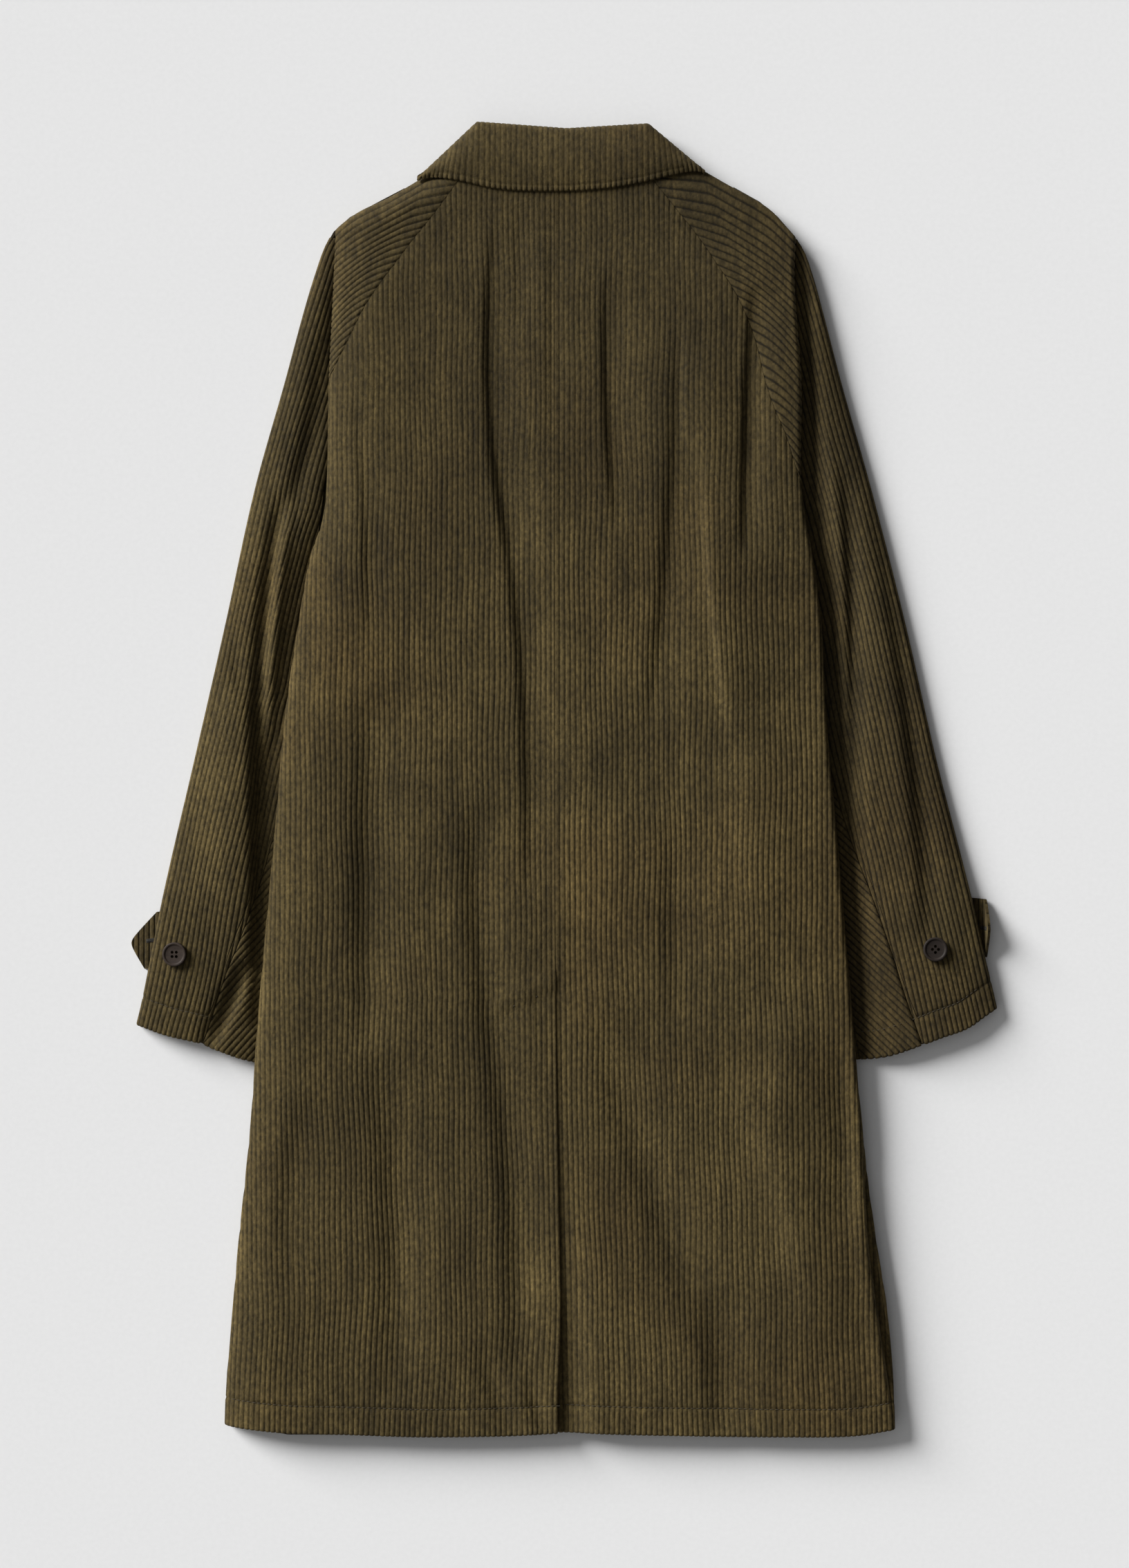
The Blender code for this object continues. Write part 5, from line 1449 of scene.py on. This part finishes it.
def corduroy(name, rib_source, shoulder=0.74, painted_shade_factor=1.0, brushed=0.62):
    """Olive corduroy: dark grooves, a worn nap in patches, darker at the shoulders, and a fine pile; a
    factor darkens a whole copy as painted shade.
    """
    material, tree, shader = new_material(name)
    place = node(tree, "ShaderNodeTexCoord")
    where = place.outputs["Object"]
    if rib_source == "geometry":
        rib = node(tree, "ShaderNodeAttribute", attribute_name="rib").outputs["Fac"]
    else:
        rib = drawn_rib(tree, node(tree, "ShaderNodeSeparateXYZ", {0: place.outputs["UV"]}).outputs["X"])

    # The wales' contrast varies about their flanks, and pile and flecks lie over it
    pile = noise(tree, where, 1300.0, 2.0)
    fleck = noise(tree, where, 330.0, 3.0, 0.6)
    brush = spread(tree, noise(tree, stretch(tree, where, 15.0, 9.0), 1.0, 3.0), 0.35, 0.65, brushed, 1.0)
    tone = math_node(tree, "MULTIPLY", math_node(tree, "SUBTRACT", rib, BRUSH_MIDDLE), brush)
    tone = math_node(tree, "ADD", tone, BRUSH_MIDDLE)
    tone = math_node(tree, "ADD", tone, vary(tree, pile, -0.2, 0.2))
    tone = math_node(tree, "ADD", tone, vary(tree, fleck, -0.24, 0.24))
    colour = ramp(tree, tone, [(0.0, GROOVE), (0.3, FLANK), (0.66, RIDGE), (1.0, CREST)])

    # Shades from large to small: nap, patches, streaks, single wales and tufts
    up = node(tree, "ShaderNodeSeparateXYZ", {0: where}).outputs["Y"]
    # The shade factor darkens this whole copy of the cloth as painted shade; above that the cloth turns
    # darker towards the shoulders.
    shade = spread(tree, up, *SHOULDER, painted_shade_factor, painted_shade_factor * shoulder)
    for value, low, high in (
            (noise(tree, where, 8.0, 2.0), 0.78, 1.2),
            (noise(tree, where, 34.0, 3.0, 0.55), 0.84, 1.16),
            (noise(tree, stretch(tree, where, 90.0, 7.0), 1.0, 2.0), 0.84, 1.14),
            (noise(tree, stretch(tree, where, 230.0, 16.0), 1.0, 2.0), 0.84, 1.16),
            (noise(tree, stretch(tree, where, 430.0, 210.0), 1.0, 2.0), 0.62, 1.38)):
        shade = math_node(tree, "MULTIPLY", shade, vary(tree, value, low, high))
    shade = node(tree, "ShaderNodeCombineColor", {0: shade, 1: shade, 2: shade}).outputs[0]
    colour = mix(tree, "MULTIPLY", 1.0, colour, shade)
    warm = noise(tree, where, 5.2, 2.0)
    colour = mix(tree, "MULTIPLY", spread(tree, warm, 0.5, 0.7, 0.0, 0.22), colour, BROWN_TINT)

    grain = math_node(tree, "ADD", math_node(tree, "MULTIPLY", pile, 0.6), fleck)
    normal = bump(tree, grain, 0.0006, Strength=0.55)
    if rib_source != "geometry":
        normal = bump(tree, rib, 0.0011, Normal=normal)
    connect(tree, shader, {
        "Base Color": colour, "Normal": normal, "Roughness": vary(tree, fleck, 0.82, 0.96),
        "Specular IOR Level": 0.2, "Sheen Weight": 0.06, "Sheen Roughness": 0.45,
        "Sheen Tint": (0.7, 0.55, 0.28, 1)})
    return material


def thread(name, dark, pale):
    material, tree, shader = new_material(name)
    twist = noise(tree, node(tree, "ShaderNodeTexCoord").outputs["Object"], 2200.0, 2.0)
    connect(tree, shader, {
        "Base Color": ramp(tree, twist, [(0.3, dark), (0.7, pale)]), "Roughness": 0.7,
        "Normal": bump(tree, twist, 0.0002, Strength=0.4)})
    return material


def horn(name, painted_shade_factor):
    """Dark brown button with faint streaks and a dull polish, darkened all over by a factor as painted
    shade.
    """
    material, tree, shader = new_material(name)
    where = node(tree, "ShaderNodeTexCoord").outputs["Object"]
    streak = noise(tree, stretch(tree, where, 60.0, 260.0), 1.6, 4.0, 0.6)
    speck = noise(tree, where, 1500.0, 2.0)
    # A factor below 1 darkens the horn all over: painted shade.
    colour = ramp(tree, streak, [(at, tuple(painted_shade_factor * c for c in tone)) for at, tone in HORN])
    connect(tree, shader, {
        "Base Color": colour, "Roughness": vary(tree, speck, 0.58, 0.72), "Specular IOR Level": 0.22,
        "Normal": bump(tree, speck, 0.0001, Strength=0.2)})
    return material


def paper(name):
    """Pale floor, matt and nearly even."""
    material, tree, shader = new_material(name)
    grain = noise(tree, node(tree, "ShaderNodeTexCoord").outputs["Object"], 260.0, 3.0)
    colour = ramp(tree, grain, [(0.3, (0.79, 0.79, 0.79)), (0.7, (0.81, 0.81, 0.81))])
    connect(tree, shader, {"Base Color": colour, "Roughness": 0.9, "Specular IOR Level": 0.1})
    return material


# Camera, light and floor

VIEW_HEIGHT = 1.2928     # metres of floor from the top of the photograph to its bottom
VIEW_CENTRE = (0.0005, -0.0038)
CAMERA_UP = 3.0
COAT_LEVEL = 0.016       # height at which the scale was taken
LENS_LONG_SIDE = 36.0
SUN_FROM = Vector((-0.74, 0.54, 0.37))
SUN_STRENGTH = 6.15
SUN_ANGLE = math.radians(30)
SKY_LEFT = 0.52
SKY_FADE = 0.9           # how far to the right the sky has faded out


def camera():
    data = bpy.data.cameras.new("camera")
    data.sensor_width = LENS_LONG_SIDE
    data.lens = LENS_LONG_SIDE * (CAMERA_UP - COAT_LEVEL) / VIEW_HEIGHT
    data.clip_end = 50
    made = link("camera", data)
    made.location = (*VIEW_CENTRE, CAMERA_UP)
    bpy.context.scene.camera = made


def light():
    """A soft low sun from the upper left, and a sky that fades to the right."""
    data = bpy.data.lights.new("window", "SUN")
    data.energy = SUN_STRENGTH
    data.angle = SUN_ANGLE
    made = link("window", data)
    made.rotation_euler = SUN_FROM.to_track_quat("Z", "Y").to_euler()
    made.location = SUN_FROM * 3
    world = bpy.data.worlds.new("studio")
    world.use_nodes = True
    tree = world.node_tree
    way = node(tree, "ShaderNodeTexCoord").outputs["Generated"]
    side = node(tree, "ShaderNodeSeparateXYZ", {0: way}).outputs["X"]
    strength = spread(tree, side, -1.0, SKY_FADE, SKY_LEFT, 0.0)
    connect(tree, tree.nodes["Background"], {"Color": (1, 1, 1, 1), "Strength": strength})
    bpy.context.scene.world = world
    bpy.context.scene.view_settings.view_transform = "Standard"


def floor():
    size, low = 24.0, -0.0004
    corners = [(-size, -size, low), (size, -size, low), (size, size, low), (-size, size, low)]
    mesh = bpy.data.meshes.new("floor")
    mesh.from_pydata(corners, [], [(0, 1, 2, 3)])
    mesh.materials.append(paper("floor_paper"))
    made = link("floor", mesh)


# Assembly

def put(piece, slot, *nodes):
    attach(piece, "root")
    if nodes:
        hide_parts(*nodes)
    return piece


def assemble():
    ribbed = corduroy("corduroy_ribbed", "geometry")
    collared = corduroy("corduroy_collar", "geometry", 0.87, 1.0, 0.4)
    # The right sleeve and its wrap get a darker copy of the cloth: painted shade on a sleeve turned from the
    # light.
    sleeve_painted_shade = corduroy("corduroy_sleeve_painted_shade", "geometry", 0.92, 0.75, 1.7)
    plain = corduroy("corduroy_plain", "pattern")
    # The right strap's copy of the cloth is darker: painted shade over a face that stands toward the light.
    strap_painted_shade = corduroy("corduroy_strap_painted_shade", "pattern", 0.9, 0.6)
    sewn = thread("thread", (0.018, 0.013, 0.006), (0.05, 0.038, 0.018))
    # Dark thread for the buttonholes: their sewn edges, and the painted shade of the slit between them.
    dark = thread("thread_dark_and_slit_shade", (0.006, 0.005, 0.003), (0.012, 0.009, 0.005))
    # The right button is the same horn darkened: painted shade.
    horned = {"left": horn("button_horn", 1.0), "right": horn("button_horn_painted_shade", 0.5)}
    threads, holes = [], []
    for half in HALVES:
        name = half.name
        panel = put(back(half, ribbed), "corduroy", f"back_{name}")
        sleeve = sleeve_painted_shade if half is RIGHT else ribbed
        panel = put(sleeve_back(half, sleeve), "corduroy", f"sleeve_{name}_back")
        panel, wrap = sleeve_front(half, sleeve, plain)
        put(panel, "corduroy", f"sleeve_{name}_front")
        put(wrap, "corduroy")
        panel = put(front(half, plain), "corduroy", f"front_{name}")
        panel = put(collar_end(half, plain), "corduroy", f"collar_end_{name}")
        strap = strap_painted_shade if half is RIGHT else plain
        panel = put(cuff_strap(half, strap), "corduroy", f"cuff_strap_{name}")
        put(button(half, horned[name]), "button", f"button_{name}")
        threads += stitch_row(hem_path(half), back_height(half), HEM_STITCH)
        threads += stitch_row(cuff_path(half), sleeve_height(half), HEM_STITCH)
        holes += buttonhole(half)
    panel = put(collar_fall(collared), "corduroy", "collar_fall")
    panel = put(collar_stand(plain), "corduroy", "collar_stand")
    anchor = np.linspace(ANCHOR_START, ANCHOR_END, 30)
    threads += stitch_row(anchor, top_height, ANCHOR_STITCH)
    put(sewing("stitches", threads, sewn), "corduroy")
    put(sewing("buttonholes", holes, dark), "corduroy")


camera()
light()
floor()
assemble()

bpy.context.view_layer.update()
